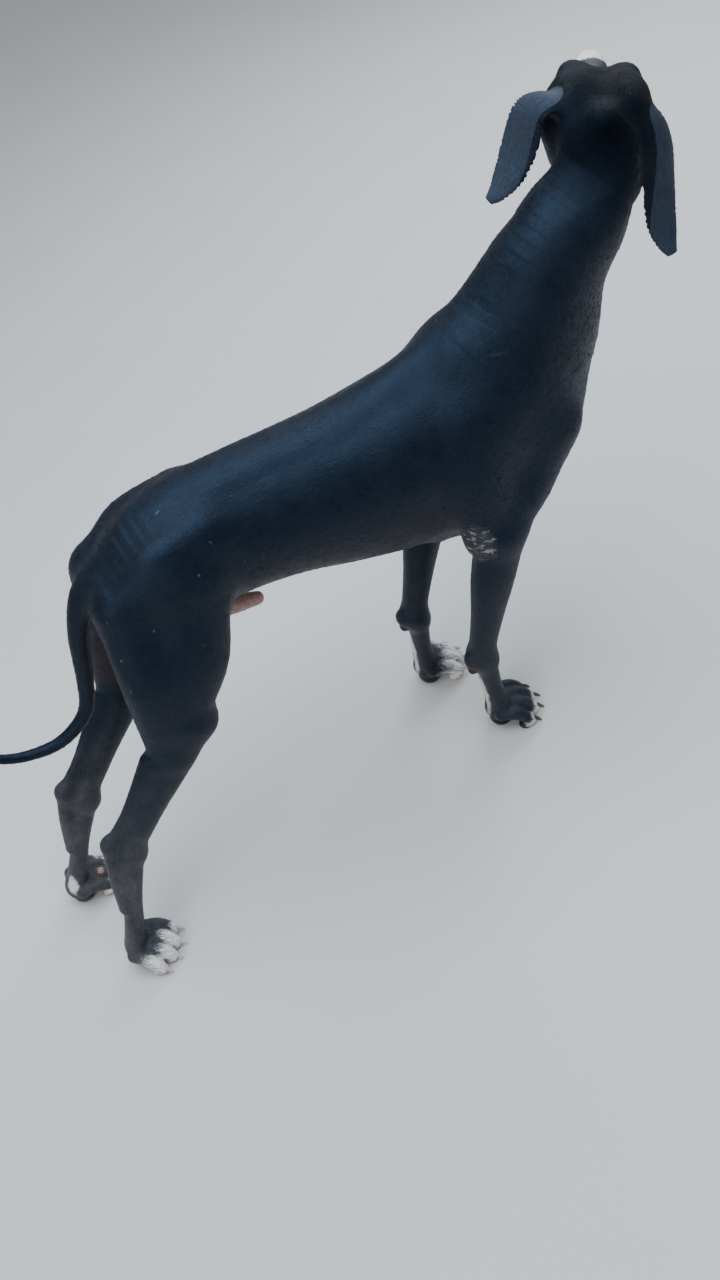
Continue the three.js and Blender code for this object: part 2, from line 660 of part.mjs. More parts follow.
const EARS = {
  left: {
    side: 1,
    path: [
      [0, 50, -30, 30, 13], [-3, 80, -22, 33, 9], [-10, 105, -36, 38, 5.2], [-22, 112, -74, 36, 4.2],
      [-36, 118, -104, 30, 3.8], [-50, 131, -130, 20, 3.4], [-58, 146, -146, 8, 3.2],
    ],
  },
  right: {
    side: -1,
    path: [
      [0, -50, -36, 30, 13], [-4, -78, -44, 33, 9], [-16, -95, -74, 36, 5.2], [-32, -103, -116, 34, 4.2],
      [-50, -110, -156, 31, 3.8], [-64, -121, -186, 21, 3.4], [-74, -133, -204, 9, 3.2],
    ],
  },
};

function ear({ side, path }) {
  const { at, f, l } = HEAD;
  const facing = (ahead, out) => f.clone().multiplyScalar(ahead).addScaledVector(l, side * out);
  const [, second] = path;
  return [
    tube(path.map(([a, b, c, wide, thick]) => [at(a, b, c), wide, thick]),
      { side: facing(0.9, 0.35), sideEnd: facing(0.35, 0.9), blend: 12, cap: 0.5, cup: side * 0.005 }),
    // cup under the root of the flap, open to the front
    blob(at(second[0] + 20, second[1] - side * 5, second[2] - 16), 20, 9, 9, HEAD, { blend: 5, carve: true }),
  ];
}

const legs = [...Object.values(FORELEGS), ...Object.values(HINDLEGS)];
const BODY = [
  ...trunk(), ...neck(), ...head(), ...Object.values(EARS).flatMap(ear), ...tail(),
  ...Object.values(FORELEGS).flatMap(foreleg), ...Object.values(HINDLEGS).flatMap(hindleg),
  ...legs.flatMap((leg) => paw(leg, leg.elbow ? FORE_PAW : HIND_PAW)),
];

// Solids. manifold-3d joins and cuts closed meshes

function solidOf({ points, triangles }) {
  return new wasm.Manifold(new wasm.Mesh({
    numProp: 3,
    vertProperties: new Float32Array(points.flat()),
    triVerts: new Uint32Array(triangles.flat()),
  }));
}

function solidFrom(geometry) {
  geometry.deleteAttribute('normal');
  geometry.deleteAttribute('uv');
  const merged = mergeVertices(geometry, 1e-3);
  return new wasm.Manifold(new wasm.Mesh({
    numProp: 3,
    vertProperties: new Float32Array(merged.attributes.position.array),
    triVerts: new Uint32Array(merged.index.array),
  }));
}

const FAR = 700;                 // length of a cut, past everything that it takes

// A box that begins at a point and runs on along a direction.
// It is drawn in by `inset` on every side but its far end, or let out where that is negative.
function slab({ start, forward, left = LEFT, length = FAR, wide = FAR / 2, high = FAR / 2 }, inset) {
  const { at, f, l, u } = frame(start, forward, left);
  const box = new THREE.BoxGeometry(length, 2 * (wide - inset), 2 * (high - inset));
  const place = new THREE.Matrix4().makeBasis(f, l, u).setPosition(at(length / 2 + inset, 0, 0));
  return solidFrom(box.applyMatrix4(place));
}

const join = (...pieces) => (inset) => pieces.map((piece) => slab(piece, inset)).reduce((a, b) => a.add(b));
const meet = (...pieces) => (inset) => pieces.map((piece) => slab(piece, inset)).reduce((a, b) => a.intersect(b));

function largest(solid) {
  return solid.decompose().reduce((best, body) => (body.volume() > best.volume() ? body : best));
}

function eyeball(s, radius) {
  const ball = new THREE.IcosahedronGeometry(radius, 3);
  return solidFrom(ball.translate(...eye(s).origin));
}

// Regions: the stretch of the body from a cut onwards, out to the tip

const NECK_BASE = vec(1080, 0, 720);
const NECK = join({ start: NECK_BASE, forward: vec(0.753, 0, 0.659) });
const HEAD_BASE = HEAD.at(-38, 0, -75);
const SKULL = join({ start: HEAD_BASE, forward: vec(0.746, 0.456, 0.485), length: 400 });
const NOSE = join({
  start: HEAD.at(250, 0, -42), forward: HEAD.f, left: HEAD.l, length: 60, wide: 60, high: 40,
});
const EAR_CUTS = {
  left: join(
    { start: HEAD.at(-5, 80, -45), forward: headward(-0.45, 1, 0.4), left: HEAD.f, wide: 62, high: 72 },
    { start: HEAD.at(-50, 110, -143), forward: headward(0, 0.83, 0.56), left: HEAD.f, wide: 45, high: 60 },
  ),
  right: join(
    { start: HEAD.at(0, -81, -58), forward: headward(-0.22, -1, 0), left: HEAD.f, wide: 58, high: 76 },
    { start: HEAD.at(-60, -72, -165), forward: headward(0, -1, 0), left: HEAD.f, wide: 50, high: 50 },
  ),
};

function headward(a, b, c) {
  return HEAD.at(a, b, c).sub(CROWN);
}

const TAIL_CUTS = [
  join({ start: vec(290, 0, 690), forward: vec(-0.9, 0, -0.43), wide: 30 }),
  join({ start: vec(215, 0, 523), forward: vec(-0.45, 0, -0.9), wide: 60, high: 160 }),
  join({ start: vec(100, 3, 468), forward: vec(-1, 0, 0.1), wide: 60, high: 100 }),
];
const GROUND = { start: vec(500, 0, 0), forward: vec(0, 0, -1), high: 900 };
const PAW_LINE = 72;             // height of the cut above each paw

function foreCuts({ side, elbow, carpus, knuckle }) {
  const reach = { wide: 130, high: 200 };
  const start = (point, lift) => vec(point.x, side * 170, point.z + lift);
  return [
    join({ start: start(elbow, -6), forward: vec(0, 0, -1), ...reach }),
    join({ start: start(carpus, 42), forward: vec(-0.15, 0, -1), ...reach }),
    join({ start: vec(knuckle.x, side * 170, PAW_LINE), forward: vec(0.1, 0, -1), ...reach }),
  ];
}

function hindCuts({ side, stifle, hock, knuckle }) {
  const reach = { wide: 140, high: 200 };
  const start = (point) => vec(point.x, side * (140 + GROIN), point.z);
  const outer = { start: vec(200, side * GROIN, 400), forward: vec(0, side, 0), left: vec(1, 0, 0) };
  return [
    meet(outer, { start: vec(370, side * 60, 620), forward: vec(-0.42, side * 0.3, -0.85) }),
    join({ start: start(stifle), forward: vec(-0.55, 0, -0.835), ...reach }),
    join({ start: start(mix(hock, stifle, 0.16)), forward: vec(-0.62, 0, -0.78), ...reach }),
    join({ start: vec(knuckle.x, side * (140 + GROIN), PAW_LINE), forward: vec(-0.2, 0, -1), ...reach }),
  ];
}

// Looks, in the colours of a black Dane out of doors

const look = (color, roughness) => () => new THREE.MeshStandardMaterial({ color, roughness, metalness: 0 });
const COAT = look(0x1b1f26, 0.45);
const EAR_COAT = look(0x39434f, 0.55);
const LEATHER = look(0x25262a, 0.4);
const PALE_PAW = look(0x8a8580, 0.6);
const IRIS = look(0x2b170d, 0.1);

// Makes a mesh whose geometry is centred on its pivot
function mesh(name, material, solid, pivot) {
  const { vertProperties, triVerts } = solid.getMesh();
  const geometry = new THREE.BufferGeometry();
  geometry.setAttribute('position', new THREE.BufferAttribute(Float32Array.from(vertProperties), 3));
  geometry.setIndex(new THREE.BufferAttribute(Uint32Array.from(triVerts), 1));
  geometry.translate(-pivot.x, -pivot.y, -pivot.z);
  geometry.computeVertexNormals();
  const made = new THREE.Mesh(geometry, material());
  made.name = name;
  made.position.copy(pivot);
  return made;
}

// The grid around some points, with a margin on every side
function around(points, margin) {
  const box = new THREE.Box3().setFromPoints(points).expandByScalar(margin);
  return { axes: WORLD, low: box.min.toArray(), high: box.max.toArray() };
}

// Fineness of each kind of sub-part: the cell of its grid, and about how many triangles are kept
const FINENESS = {
  torso: [9, 3000],
  neck: [8, 1100],
  head: [2.9, 3400],
  nose: [2, 700],
  ear: [2.6, 700],
  tail: [3, 280],
  forearm: [4.6, 380],
  pastern: [3.4, 420],
  forepaw: [2.6, 900],
  thigh: [6, 560],
  shank: [4.8, 480],
  hock: [3.4, 460],
  hindpaw: [2.6, 900],
};

// One sub-part: the body inside a grid and a region, without what other sub-parts take
function part({ name, material = COAT, grid, inside, without = [], pivot, weight = () => 1 }) {
  const [cell, count] = FINENESS[name.split('_')[0]];
  const meshed = simplify(surface(BODY, grid, cell), count, weight);
  let solid = solidOf(meshed).subtract(slab(GROUND, 0));
  if (inside) solid = solid.intersect(inside(GAP / 2));
  for (const region of without) solid = solid.subtract(region(-GAP / 2));
  return mesh(name, material, largest(solid), pivot);
}

// A group at a pivot. What it holds keeps its place
function limb(pivot, pieces) {
  const group = new THREE.Group();
  group.position.copy(pivot);
  for (const piece of pieces) {
    piece.position.sub(pivot);
    group.add(piece);
  }
  return group;
}

// Sub-parts, each with the group of what hangs on it

function makeEar(name) {
  const { path } = EARS[name];
  const low = { left: [-95, 50, -166], right: [-110, -150, -218] };
  const high = { left: [60, 162, 16], right: [60, -55, 6] };
  const [a, b, c] = path[0];
  return part({
    name: `ear_${name}`,
    material: EAR_COAT,
    grid: { axes: HEAD, low: low[name], high: high[name] },
    inside: EAR_CUTS[name],
    pivot: HEAD.at(a, b, c),
  });
}

function makeHead() {
  const eyes = { left: 1, right: -1 };
  const balls = Object.entries(eyes).map(([name, s]) => (
    mesh(`eye_${name}`, IRIS, eyeball(s, EYE_RADIUS), eye(s).origin)));
  const sockets = Object.values(eyes).map((s) => () => eyeball(s, EYE_RADIUS + GAP));
  const lidded = (p) => Object.values(eyes).some((s) => eye(s).origin.distanceTo(vec(...p)) < 2 * EYE_RADIUS);
  const face = part({
    name: 'head',
    grid: { axes: HEAD, low: [-128, -100, -166], high: [292, 100, 18] },
    inside: SKULL,
    without: [EAR_CUTS.left, EAR_CUTS.right, NOSE, ...sockets],
    pivot: HEAD_BASE,
    weight: (p) => (lidded(p) ? 5 : 1),
  });
  const nose = part({
    name: 'nose',
    material: LEATHER,
    grid: { axes: HEAD, low: [230, -50, -110], high: [292, 50, -20] },
    inside: NOSE,
    pivot: HEAD.at(250, 0, -66),
  });
  return limb(HEAD_BASE, [face, nose, ...balls, makeEar('left'), makeEar('right')]);
}

function makeNeck() {
  const piece = part({
    name: 'neck',
    grid: { axes: WORLD, low: [930, -170, 540], high: [1340, 150, 1070] },
    inside: NECK,
    without: [SKULL, EAR_CUTS.left, EAR_CUTS.right],
    pivot: NECK_BASE,
  });
  return limb(NECK_BASE, [piece, makeHead()]);
}

function makeTail() {
  const names = ['tail_base', 'tail_middle', 'tail_tip'];
  const stretches = [[1, 4], [3, 6], [5, 8]];
  return names.map((name, i) => {
    const [first, last] = stretches[i];
    const points = TAIL.slice(first, last + 1).map(([point]) => point);
    return part({
      name,
      grid: around(points, 36),
      inside: TAIL_CUTS[i],
      without: TAIL_CUTS.slice(i + 1, i + 2),
      pivot: points[0],
    });
  });
}

// A leg as a chain of sub-parts, each hung on the one above and cut off where the next one begins
function makeLeg(name, pieces) {
  return pieces.reduceRight((below, { kind, pivot, grid, inside, material }, i) => {
    const without = i + 1 < pieces.length ? [pieces[i + 1].inside] : [];
    const piece = part({ name: `${kind}_${name}`, material, pivot, grid, inside, without });
    return limb(pivot, below ? [piece, below] : [piece]);
  }, null);
}

const PAW_ROOM = 62;             // margin of a paw's grid round its knuckle, heel and toes

function makeForeleg(name) {
  const leg = FORELEGS[name];
  const { elbow, carpus, knuckle, sole } = leg;
  const [arm, wrist, foot] = foreCuts(leg);
  const toes = around([knuckle, sole, off(sole, 50, 0, 0)], PAW_ROOM);
  return makeLeg(name, [
    { kind: 'forearm', pivot: elbow, grid: around([elbow, carpus], 76), inside: arm },
    { kind: 'pastern', pivot: carpus, grid: around([carpus, knuckle], 60), inside: wrist },
    { kind: 'forepaw', pivot: knuckle, grid: toes, inside: foot, material: PALE_PAW },
  ]);
}

function makeHindleg(name) {
  const leg = HINDLEGS[name];
  const { hip, stifle, hock, knuckle, sole } = leg;
  const [haunch, knee, heel, foot] = hindCuts(leg);
  const toes = around([knuckle, sole, off(sole, 50, 0, 0)], PAW_ROOM);
  const heelRoom = around([hock, knuckle, off(hock, 0, 0, 20)], 62);
  return makeLeg(name, [
    { kind: 'thigh', pivot: hip, grid: around([hip, stifle], 130), inside: haunch },
    { kind: 'shank', pivot: stifle, grid: around([stifle, hock], 88), inside: knee },
    { kind: 'hock', pivot: hock, grid: heelRoom, inside: heel },
    { kind: 'hindpaw', pivot: knuckle, grid: toes, inside: foot, material: PALE_PAW },
  ]);
}

const torso = part({
  name: 'torso',
  grid: { axes: WORLD, low: [240, -190, 400], high: [1220, 190, 900] },
  without: [
    NECK, TAIL_CUTS[0], ...Object.values(FORELEGS).map((leg) => foreCuts(leg)[0]),
    ...Object.values(HINDLEGS).map((leg) => hindCuts(leg)[0]),
  ],
  pivot: vec(700, 0, 650),
});

const dog = new THREE.Group();
dog.add(torso, makeNeck(), ...makeTail());
dog.add(makeForeleg('left'), makeForeleg('right'), makeHindleg('left'), makeHindleg('right'));

// The origin is the middle of the floor that the dog covers
const box = new THREE.Box3().setFromObject(dog);
const middle = box.getCenter(vec(0, 0, 0));
dog.position.set(-middle.x, -middle.y, 0);

export default dog;
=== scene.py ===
"""A life-size Great Dane, standing still with its head turned to its left.

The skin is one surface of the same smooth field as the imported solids, a little inside them.
Eyes, claws, whiskers and tufts are pieces of their own. The anatomy is in millimetres from the
middle of the hind paws, as a skeleton is measured, and moves into the frame's metres at the end.
"""
import math
from concurrent.futures import ThreadPoolExecutor

import bpy
import numpy as np
from mathutils import Matrix, Vector


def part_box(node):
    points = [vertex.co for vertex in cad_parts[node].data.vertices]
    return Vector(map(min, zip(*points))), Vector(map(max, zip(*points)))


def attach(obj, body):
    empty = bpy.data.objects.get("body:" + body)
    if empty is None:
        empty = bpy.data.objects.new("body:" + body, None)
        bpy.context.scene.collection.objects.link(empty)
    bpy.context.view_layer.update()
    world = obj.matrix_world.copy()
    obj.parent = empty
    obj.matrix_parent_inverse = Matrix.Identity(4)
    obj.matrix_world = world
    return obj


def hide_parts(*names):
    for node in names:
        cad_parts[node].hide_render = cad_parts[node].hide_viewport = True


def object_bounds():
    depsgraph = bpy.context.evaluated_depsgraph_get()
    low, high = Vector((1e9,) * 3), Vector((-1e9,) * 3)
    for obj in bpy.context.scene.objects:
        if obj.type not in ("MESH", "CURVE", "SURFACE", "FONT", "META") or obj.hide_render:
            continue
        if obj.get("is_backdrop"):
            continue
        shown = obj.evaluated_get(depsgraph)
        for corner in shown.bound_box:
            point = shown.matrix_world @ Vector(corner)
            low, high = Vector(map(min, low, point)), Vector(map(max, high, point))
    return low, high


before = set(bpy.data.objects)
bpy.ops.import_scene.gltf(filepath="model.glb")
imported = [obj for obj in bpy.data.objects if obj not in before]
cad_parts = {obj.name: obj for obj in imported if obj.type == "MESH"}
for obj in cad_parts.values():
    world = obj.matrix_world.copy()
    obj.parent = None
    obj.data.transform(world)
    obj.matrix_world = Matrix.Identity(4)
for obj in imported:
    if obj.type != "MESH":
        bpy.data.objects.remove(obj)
CAD_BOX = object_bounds()

# Driving sizes, in millimetres where no unit is named

METRE = 1000
COAT_DEPTH = 1.2          # the skin lies this far inside the solids
EAR_DEPTH = 0.3           # and this far on the thin ears
EYE_RADIUS = 13.5
FORE_PAW = 0.94           # size of the fore paws beside the numbers that describe a paw
HIND_PAW = 0.9
SIDES = (1, -1)           # left and right
RANDOM = np.random.default_rng(7)

# Fineness of the skin's mesh and of the coat

CELL = 1.6      # smallest cell of the skin
BLOCK = 12                # cells are handled in blocks this many wide
OUTSIDE = 9               # stands for a cell outside the blocks, and is wider than any cell
SPREAD = 2.2 * BLOCK * CELL            # forms this near to a block's centre may matter to it
DEPTH_BAND = 4 * CELL     # the coat's depth is only needed this near to the surface
GROUP = 30.0              # other points are measured in groups this wide
ACROSS = 1.3              # what is in a block or group lies within this many widths of its centre
GROUPS = 4096             # more groups than lie along any side
BATCH = 20000             # points are measured this many at a time
FAR = 90.0                # no form matters further from the surface than this
TUFTS = 98000
MOST_TUFTS = 19900        # in one piece of the coat


def vec(x, y, z):
    return np.array([x, y, z], float)


def unit(v):
    return v / np.linalg.norm(v)


def mix(a, b, t):
    return a + (b - a) * t


LEFT = vec(0, 1, 0)
UP = vec(0, 0, 1)


class Axes:
    """An origin with axes f forwards, l to the left and u upwards."""

    def __init__(self, origin, forward, left=LEFT):
        self.origin = origin
        self.f = unit(forward)
        self.l = unit(left - self.f * (left @ self.f))
        self.u = np.cross(self.f, self.l)

    def at(self, a, b, c):
        return self.origin + self.f * a + self.l * b + self.u * c


FORELEGS = {
    "left": dict(side=1, heading=0, elbow=vec(902, 104, 450), carpus=vec(796, 88, 206),
                 knuckle=vec(790, 100, 62), sole=vec(806, 106, 0)),
    "right": dict(side=-1, heading=-18, elbow=vec(920, -104, 450), carpus=vec(843, -86, 206),
                  knuckle=vec(848, -84, 62), sole=vec(864, -82, 0)),
}
HINDLEGS = {
    "left": dict(side=1, heading=10, hip=vec(400, 70, 670), stifle=vec(326, 98, 462),
                 hock=vec(98, 74, 252), knuckle=vec(-14, 86, 52), sole=vec(-8, 88, 0)),
    "right": dict(side=-1, heading=-36, hip=vec(410, -70, 670), stifle=vec(352, -98, 462),
                  hock=vec(136, -90, 252), knuckle=vec(42, -116, 52), sole=vec(56, -118, 0)),
}
CROWN = vec(1288, 0, 1026)
HEAD_TURN = math.radians(56.6)
HEAD_ROLL = math.radians(16)
HEAD_DIP = -0.009
TAIL = [
    # place, half width and half height
    (345, 0, 722, 26, 26), (300, 0, 700, 22, 22), (262, 0, 640, 17, 18), (232, 0, 560, 14.5, 15),
    (200, 0, 495, 13, 13), (140, 2, 463, 11.5, 11.5), (78, 4, 474, 10, 10), (30, 6, 508, 8.5, 8.5),
    (-20, 8, 552, 6, 6),
]

WORLD = Axes(vec(0, 0, 0), vec(1, 0, 0))
LOOKOUT = unit(vec(math.cos(HEAD_TURN), math.sin(HEAD_TURN), HEAD_DIP))
LEVEL = unit(np.cross(UP, LOOKOUT))
HEAD = Axes(CROWN, LOOKOUT, LEVEL * math.cos(HEAD_ROLL) + np.cross(LOOKOUT, LEVEL) * math.sin(HEAD_ROLL))


# Forms: tapered tubes and blobs that melt into one another

class Form:
    """Cross-sections along a line: place, three axes, and four half sizes, sixteen numbers each."""

    def __init__(self, data, blend, carve, cup=0.0):
        self.data = np.array(data, np.float32)
        self.centre = self.data[:, :3].mean(0)
        spread = np.linalg.norm(self.data[:, :3] - self.centre, axis=1)
        self.reach = float((spread + self.data[:, 12:].max(1)).max())
        self.blend, self.carve, self.cup = blend, carve, cup

    def distance(self, points):
        """Roughly how far each point lies outside the form, negative inside it."""
        data = self.data
        here = np.broadcast_to(data[0], (len(points), data.shape[1]))
        if len(data) > 1:
            local = points - self.centre
            start = data[:-1, :3] - self.centre
            span = data[1:, :3] - data[:-1, :3]
            size = (span ** 2).sum(1)
            along = local @ span.T - (start * span).sum(1)
            t = np.clip(along / size, 0, 1)
            away = (start ** 2).sum(1) - 2 * (local @ start.T) - t * (2 * along - t * size)
            best = away.argmin(1)
            t = np.take_along_axis(t, best[:, None], 1)
            here = data[best] + t * (data[best + 1] - data[best])
        rel = points - here[:, :3]
        a = (rel * here[:, 3:6]).sum(1)
        b = (rel * here[:, 6:9]).sum(1)
        c = (rel * here[:, 9:12]).sum(1) - self.cup * b * b
        wide, long = here[:, 12], here[:, 15]
        high = np.where(c > 0, here[:, 13], here[:, 14])
        scaled = np.stack([a / long, b / wide, c / high])
        size = np.sqrt((scaled ** 2).sum(0)) + 1e-6
        slope = np.sqrt(((scaled / np.stack([long, wide, high])) ** 2).sum(0)) + 1e-9
        return size * (size - 1) / slope


def curve(a, b, c, d, t):
    """A smooth curve through b and c, with a and d as its neighbours."""
    return 0.5 * (2 * b + (c - a) * t + (2 * a - 5 * b + 4 * c - d) * t ** 2
                  + (3 * b - a - 3 * c + d) * t ** 3)


def tube(stations, side=LEFT, side_end=None, blend=18, carve=False, cap=1.0, cup=0.0, steps=5):
    """A smooth tube through stations, each (point, half width, half height above, and below)."""
    rows = np.array([[*row[0], row[1], row[2], row[-1]] for row in stations], float)
    last = len(rows) - 1
    count = 1 if last < 2 else steps
    fine = []
    for i in range(last):
        before, after = rows[max(i - 1, 0)], rows[min(i + 2, last)]
        fine += [curve(before, rows[i], rows[i + 1], after, k / count) for k in range(count)]
    fine = np.array(fine + [rows[last]])
    side_end = side if side_end is None else side_end
    data = []
    for i, row in enumerate(fine):
        t = unit(fine[min(i + 1, len(fine) - 1), :3] - fine[max(i - 1, 0), :3])
        s = mix(side, side_end, i / (len(fine) - 1))
        s = unit(s - t * (s @ t))
        long = cap * min(row[3], (row[4] + row[5]) / 2)
        data.append([*row[:3], *t, *s, *np.cross(t, s), row[3], row[4], row[5], long])
    return Form(data, blend, carve, cup)


def stretch(axes, *rows, side=None, **options):
    """A tube through rows of a place along the axes, half width, half height above, and below."""
    stations = [(axes.at(*row[:3]), *row[3:]) for row in rows]
    return tube(stations, axes.l if side is None else side, **options)


def blob(point, long, wide, high, axes, blend=18, carve=False):
    """An ellipsoid with half sizes along a frame's axes."""
    return Form([[*point, *axes.f, *axes.l, *axes.u, wide, high, high, long]], blend, carve)


def melt(form, d, e):
    """Joins a form's distance e to the body's distance d, with a soft edge between them."""
    e = -e if form.carve else e
    soft = np.maximum(form.blend - np.abs(d - e), 0) ** 2 / form.blend / 4
    return np.maximum(d, e) + soft if form.carve else np.minimum(d, e) - soft



def near_forms(forms, centres, margin):
    """Which forms may matter near each centre."""
    near = np.zeros((len(forms), len(centres)), bool)
    for row, form in zip(near, forms):
        gap = np.linalg.norm(centres - form.centre, axis=1) - form.reach
        chosen = np.flatnonzero(gap < form.blend + margin)
        row[chosen] = form.distance(centres[chosen]) < form.blend + margin
    return near


def field(forms, points, group=None, near=None):
    """Distance to the whole body: each form melts into those before it, or is carved away."""
    points = np.asarray(points, np.float32)
    if group is None:
        cells = np.floor(points / GROUP).astype(np.int64) @ np.array([1, GROUPS, GROUPS ** 2])
        _, group = np.unique(cells, return_inverse=True)
        count = np.bincount(group)
        centres = np.stack([np.bincount(group, points[:, k]) / count for k in range(3)], 1)
        near = near_forms(forms, centres, ACROSS * GROUP)
    result = np.full(len(points), FAR, np.float32)

    def work(rows):
        here, d, own = points[rows], result[rows], group[rows]
        for form, chosen in zip(forms, near):
            mine = np.flatnonzero(chosen[own])
            if len(mine):
                d[mine] = melt(form, d[mine], form.distance(here[mine]))
        result[rows] = d

    order = np.argsort(group, kind="stable")
    with ThreadPoolExecutor() as pool:
        list(pool.map(work, np.array_split(order, len(order) // BATCH + 1)))
    return result


# The skin's mesh: one vertex in each cell that the surface crosses, joined round the crossed edges.
# Cells are small where the form is fine, and a cell's size is counted in the smallest cells.

def grid_of(*ticks):
    """Every place with one of the ticks along each axis."""
    return np.stack(np.meshgrid(*ticks, indexing="ij"), -1)


def surface(forms, size_at, depth):
    """The skin's vertices, and its faces as four vertices each."""
    edge = BLOCK * CELL
    low = np.min([f.centre - f.reach for f in forms], 0) - edge
    high = np.max([f.centre + f.reach for f in forms], 0) + edge
    counts = np.ceil((high - low) / edge).astype(int)
    blocks = grid_of(*[np.arange(n, dtype=np.int32) for n in counts]).reshape(-1, 3)
    centres = low + (blocks + 0.5) * edge
    near = near_forms(forms, centres, SPREAD)
    middle = field(forms, centres, np.arange(len(centres)), near)
    kept = np.abs(middle) < ACROSS * edge
    blocks, near = blocks[kept], near[:, kept]
    sizes = size_at(low + (blocks + 0.5) * edge)
    table = np.full(counts, OUTSIDE)
    table[tuple(blocks.T)] = sizes
    span = counts * BLOCK + 1

    def key(cells):
        return (cells[..., 0].astype(np.int64) * span[1] + cells[..., 1]) * span[2] + cells[..., 2]

    grids = []
    for size in np.unique(sizes):
        rows = np.flatnonzero(sizes == size)
        steps = grid_of(*[np.arange(0, BLOCK + 1, size, dtype=np.int32)] * 3)
        nodes = blocks[rows, None, None, None] * BLOCK + steps
        grids.append((size, nodes, np.repeat(rows, steps.size // 3)))
    # blocks share the points on their walls, so the field is taken once at each point
    flat = np.concatenate([nodes.reshape(-1, 3) for _, nodes, _ in grids])
    group = np.concatenate([rows for _, _, rows in grids])
    _, first, again = np.unique(key(flat), return_index=True, return_inverse=True)
    single = low.astype(np.float32) + flat[first] * np.float32(CELL)
    once = field(forms, single, group[first], near)
    close = np.abs(once) < DEPTH_BAND
    once[close] += depth(single[close])
    shared = once[again]
    crossings = []
    taken = 0
    for size, nodes, _ in grids:
        values = shared[taken:taken + nodes.size // 3].reshape(nodes.shape[:-1])
        taken += nodes.size // 3
        for axis in range(3):
            line = np.moveaxis(values, axis + 1, 1)
            one, two = line[:, :-1], line[:, 1:]
            found = np.nonzero((one < 0) != (two < 0))
            start = np.moveaxis(nodes, axis + 1, 1)[:, :-1][found]
            kind = np.full(len(start), axis), np.full(len(start), size)
            crossings.append((start, *kind, one[found], two[found]))
    # a crossed edge is kept once, and only where no smaller cell lies round it
    start, axis, length, a, b = (np.concatenate(column) for column in zip(*crossings))
    _, first = np.unique((key(start) * 3 + axis) * OUTSIDE + length, return_index=True)
    start, axis, length, a, b = (column[first] for column in (start, axis, length, a, b))
    one = np.eye(3, dtype=int)
    u, v = one[(axis + 1) % 3], one[(axis + 2) % 3]
    ring = np.stack([start, start - u, start - u - v, start - v], 1)
    owner = table[tuple(np.moveaxis(ring // BLOCK, -1, 0))]
    smallest = owner.min(1) >= length
    columns = start, axis, length, a, b, ring, owner
    start, axis, length, a, b, ring, owner = (column[smallest] for column in columns)
    owner = np.minimum(owner, length.max())[..., None]
    names, inverse = np.unique(key(ring // owner * owner), return_inverse=True)
    quads = inverse.reshape(-1, 4)
    # each vertex is the mean of the crossings round its cell
    cut = (start + one[axis] * (length * a / (a - b))[:, None]) * CELL + low
    hits = np.bincount(quads.ravel(), minlength=len(names))
    total = [np.bincount(quads.ravel(), np.repeat(cut[:, k], 4), len(names)) for k in range(3)]
    quads[a > 0] = quads[a > 0][:, ::-1]
    return np.stack(total, 1) / hits[:, None], quads


def settle(forms, points, depth, reach, step=0.15, flattest=0.4):
    """Moves points along the slope onto the surface, and returns the slope's direction too."""
    d = field(forms, points)
    slope = np.stack([(field(forms, points + axis * step) - d) / step for axis in np.eye(3)], 1)
    steep = np.linalg.norm(slope, axis=1) + 1e-9
    normal = slope / steep[:, None]
    for _ in range(2):
        move = np.clip((d + depth(points)) / np.maximum(steep, flattest), -reach, reach)
        points = points - normal * move[:, None]
        d = field(forms, points)
    return points, normal


# Anatomy. Every form melts into those before it

def off(point, x, y, z):
    return point + vec(x, y, z)


def trunk():
    def add(*rows, **options):
        forms.append(stretch(WORLD, *rows, **options))

    forms = []
    add((345, 0, 690, 48, 44, 60), (400, 0, 696, 80, 82, 94), (470, 2, 690, 96, 102, 112),
        (560, 6, 678, 104, 108, 116), (650, 8, 664, 112, 112, 128), (740, 8, 645, 120, 124, 146),
        (830, 6, 632, 124, 140, 165), (920, 3, 625, 118, 155, 178), (1000, 0, 622, 106, 155, 172),
        (1070, 0, 630, 88, 125, 130), (1110, 0, 645, 62, 84, 82), blend=10, cap=0.6)
    # ridge of the back, from the rump to the withers
    add((380, 0, 744, 24, 14), (480, 2, 772, 30, 16), (600, 5, 764, 28, 14), (740, 6, 750, 26, 14),
        (850, 3, 760, 24, 18), (945, 0, 780, 22, 22), (1030, 0, 800, 26, 24), (1100, -8, 846, 30, 20),
        blend=36)
    for s in SIDES:
        # shoulder blade
        add((958, s * 36, 768, 18, 28), (1010, s * 72, 700, 26, 50), (1074, s * 88, 605, 27, 40), blend=40)
        # upper arm, and the muscle behind it
        add((1070, s * 86, 600, 31, 40), (1000, s * 98, 530, 32, 48), (930, s * 102, 470, 32, 38), blend=36)
        add((945, s * 84, 690, 28, 48), (918, s * 102, 590, 32, 52), (905, s * 106, 495, 27, 32), blend=40)
        # breast
        add((1096, s * 34, 590, 36, 46), (1030, s * 44, 505, 36, 38), (930, s * 50, 474, 36, 32), blend=36)
        # haunch
        add((500, s * 62, 736, 26, 34), (420, s * 72, 714, 32, 54), (352, s * 60, 692, 32, 42), blend=40)
    # keel of the breast, and the sheath under the belly
    add((1066, 0, 522, 38, 38, 32), (970, 0, 484, 44, 40, 32), (860, 2, 486, 46, 36, 30), blend=40)
    add((405, 0, 580, 16, 16), (476, 0, 544, 18, 19), (532, 0, 522, 12, 13), blend=28)
    return forms


def neck():
    return [stretch(
        WORLD, (998, -8, 660, 106, 132, 160), (1082, -14, 750, 98, 112, 153),
        (1148, -24, 834, 81, 92, 104), (1202, -32, 890, 76, 70, 84), (1240, -36, 922, 60, 46, 62),
        side_end=mix(LEFT, HEAD.l, 0.5), blend=50)]


def tail():
    return [stretch(WORLD, *TAIL, blend=26)]


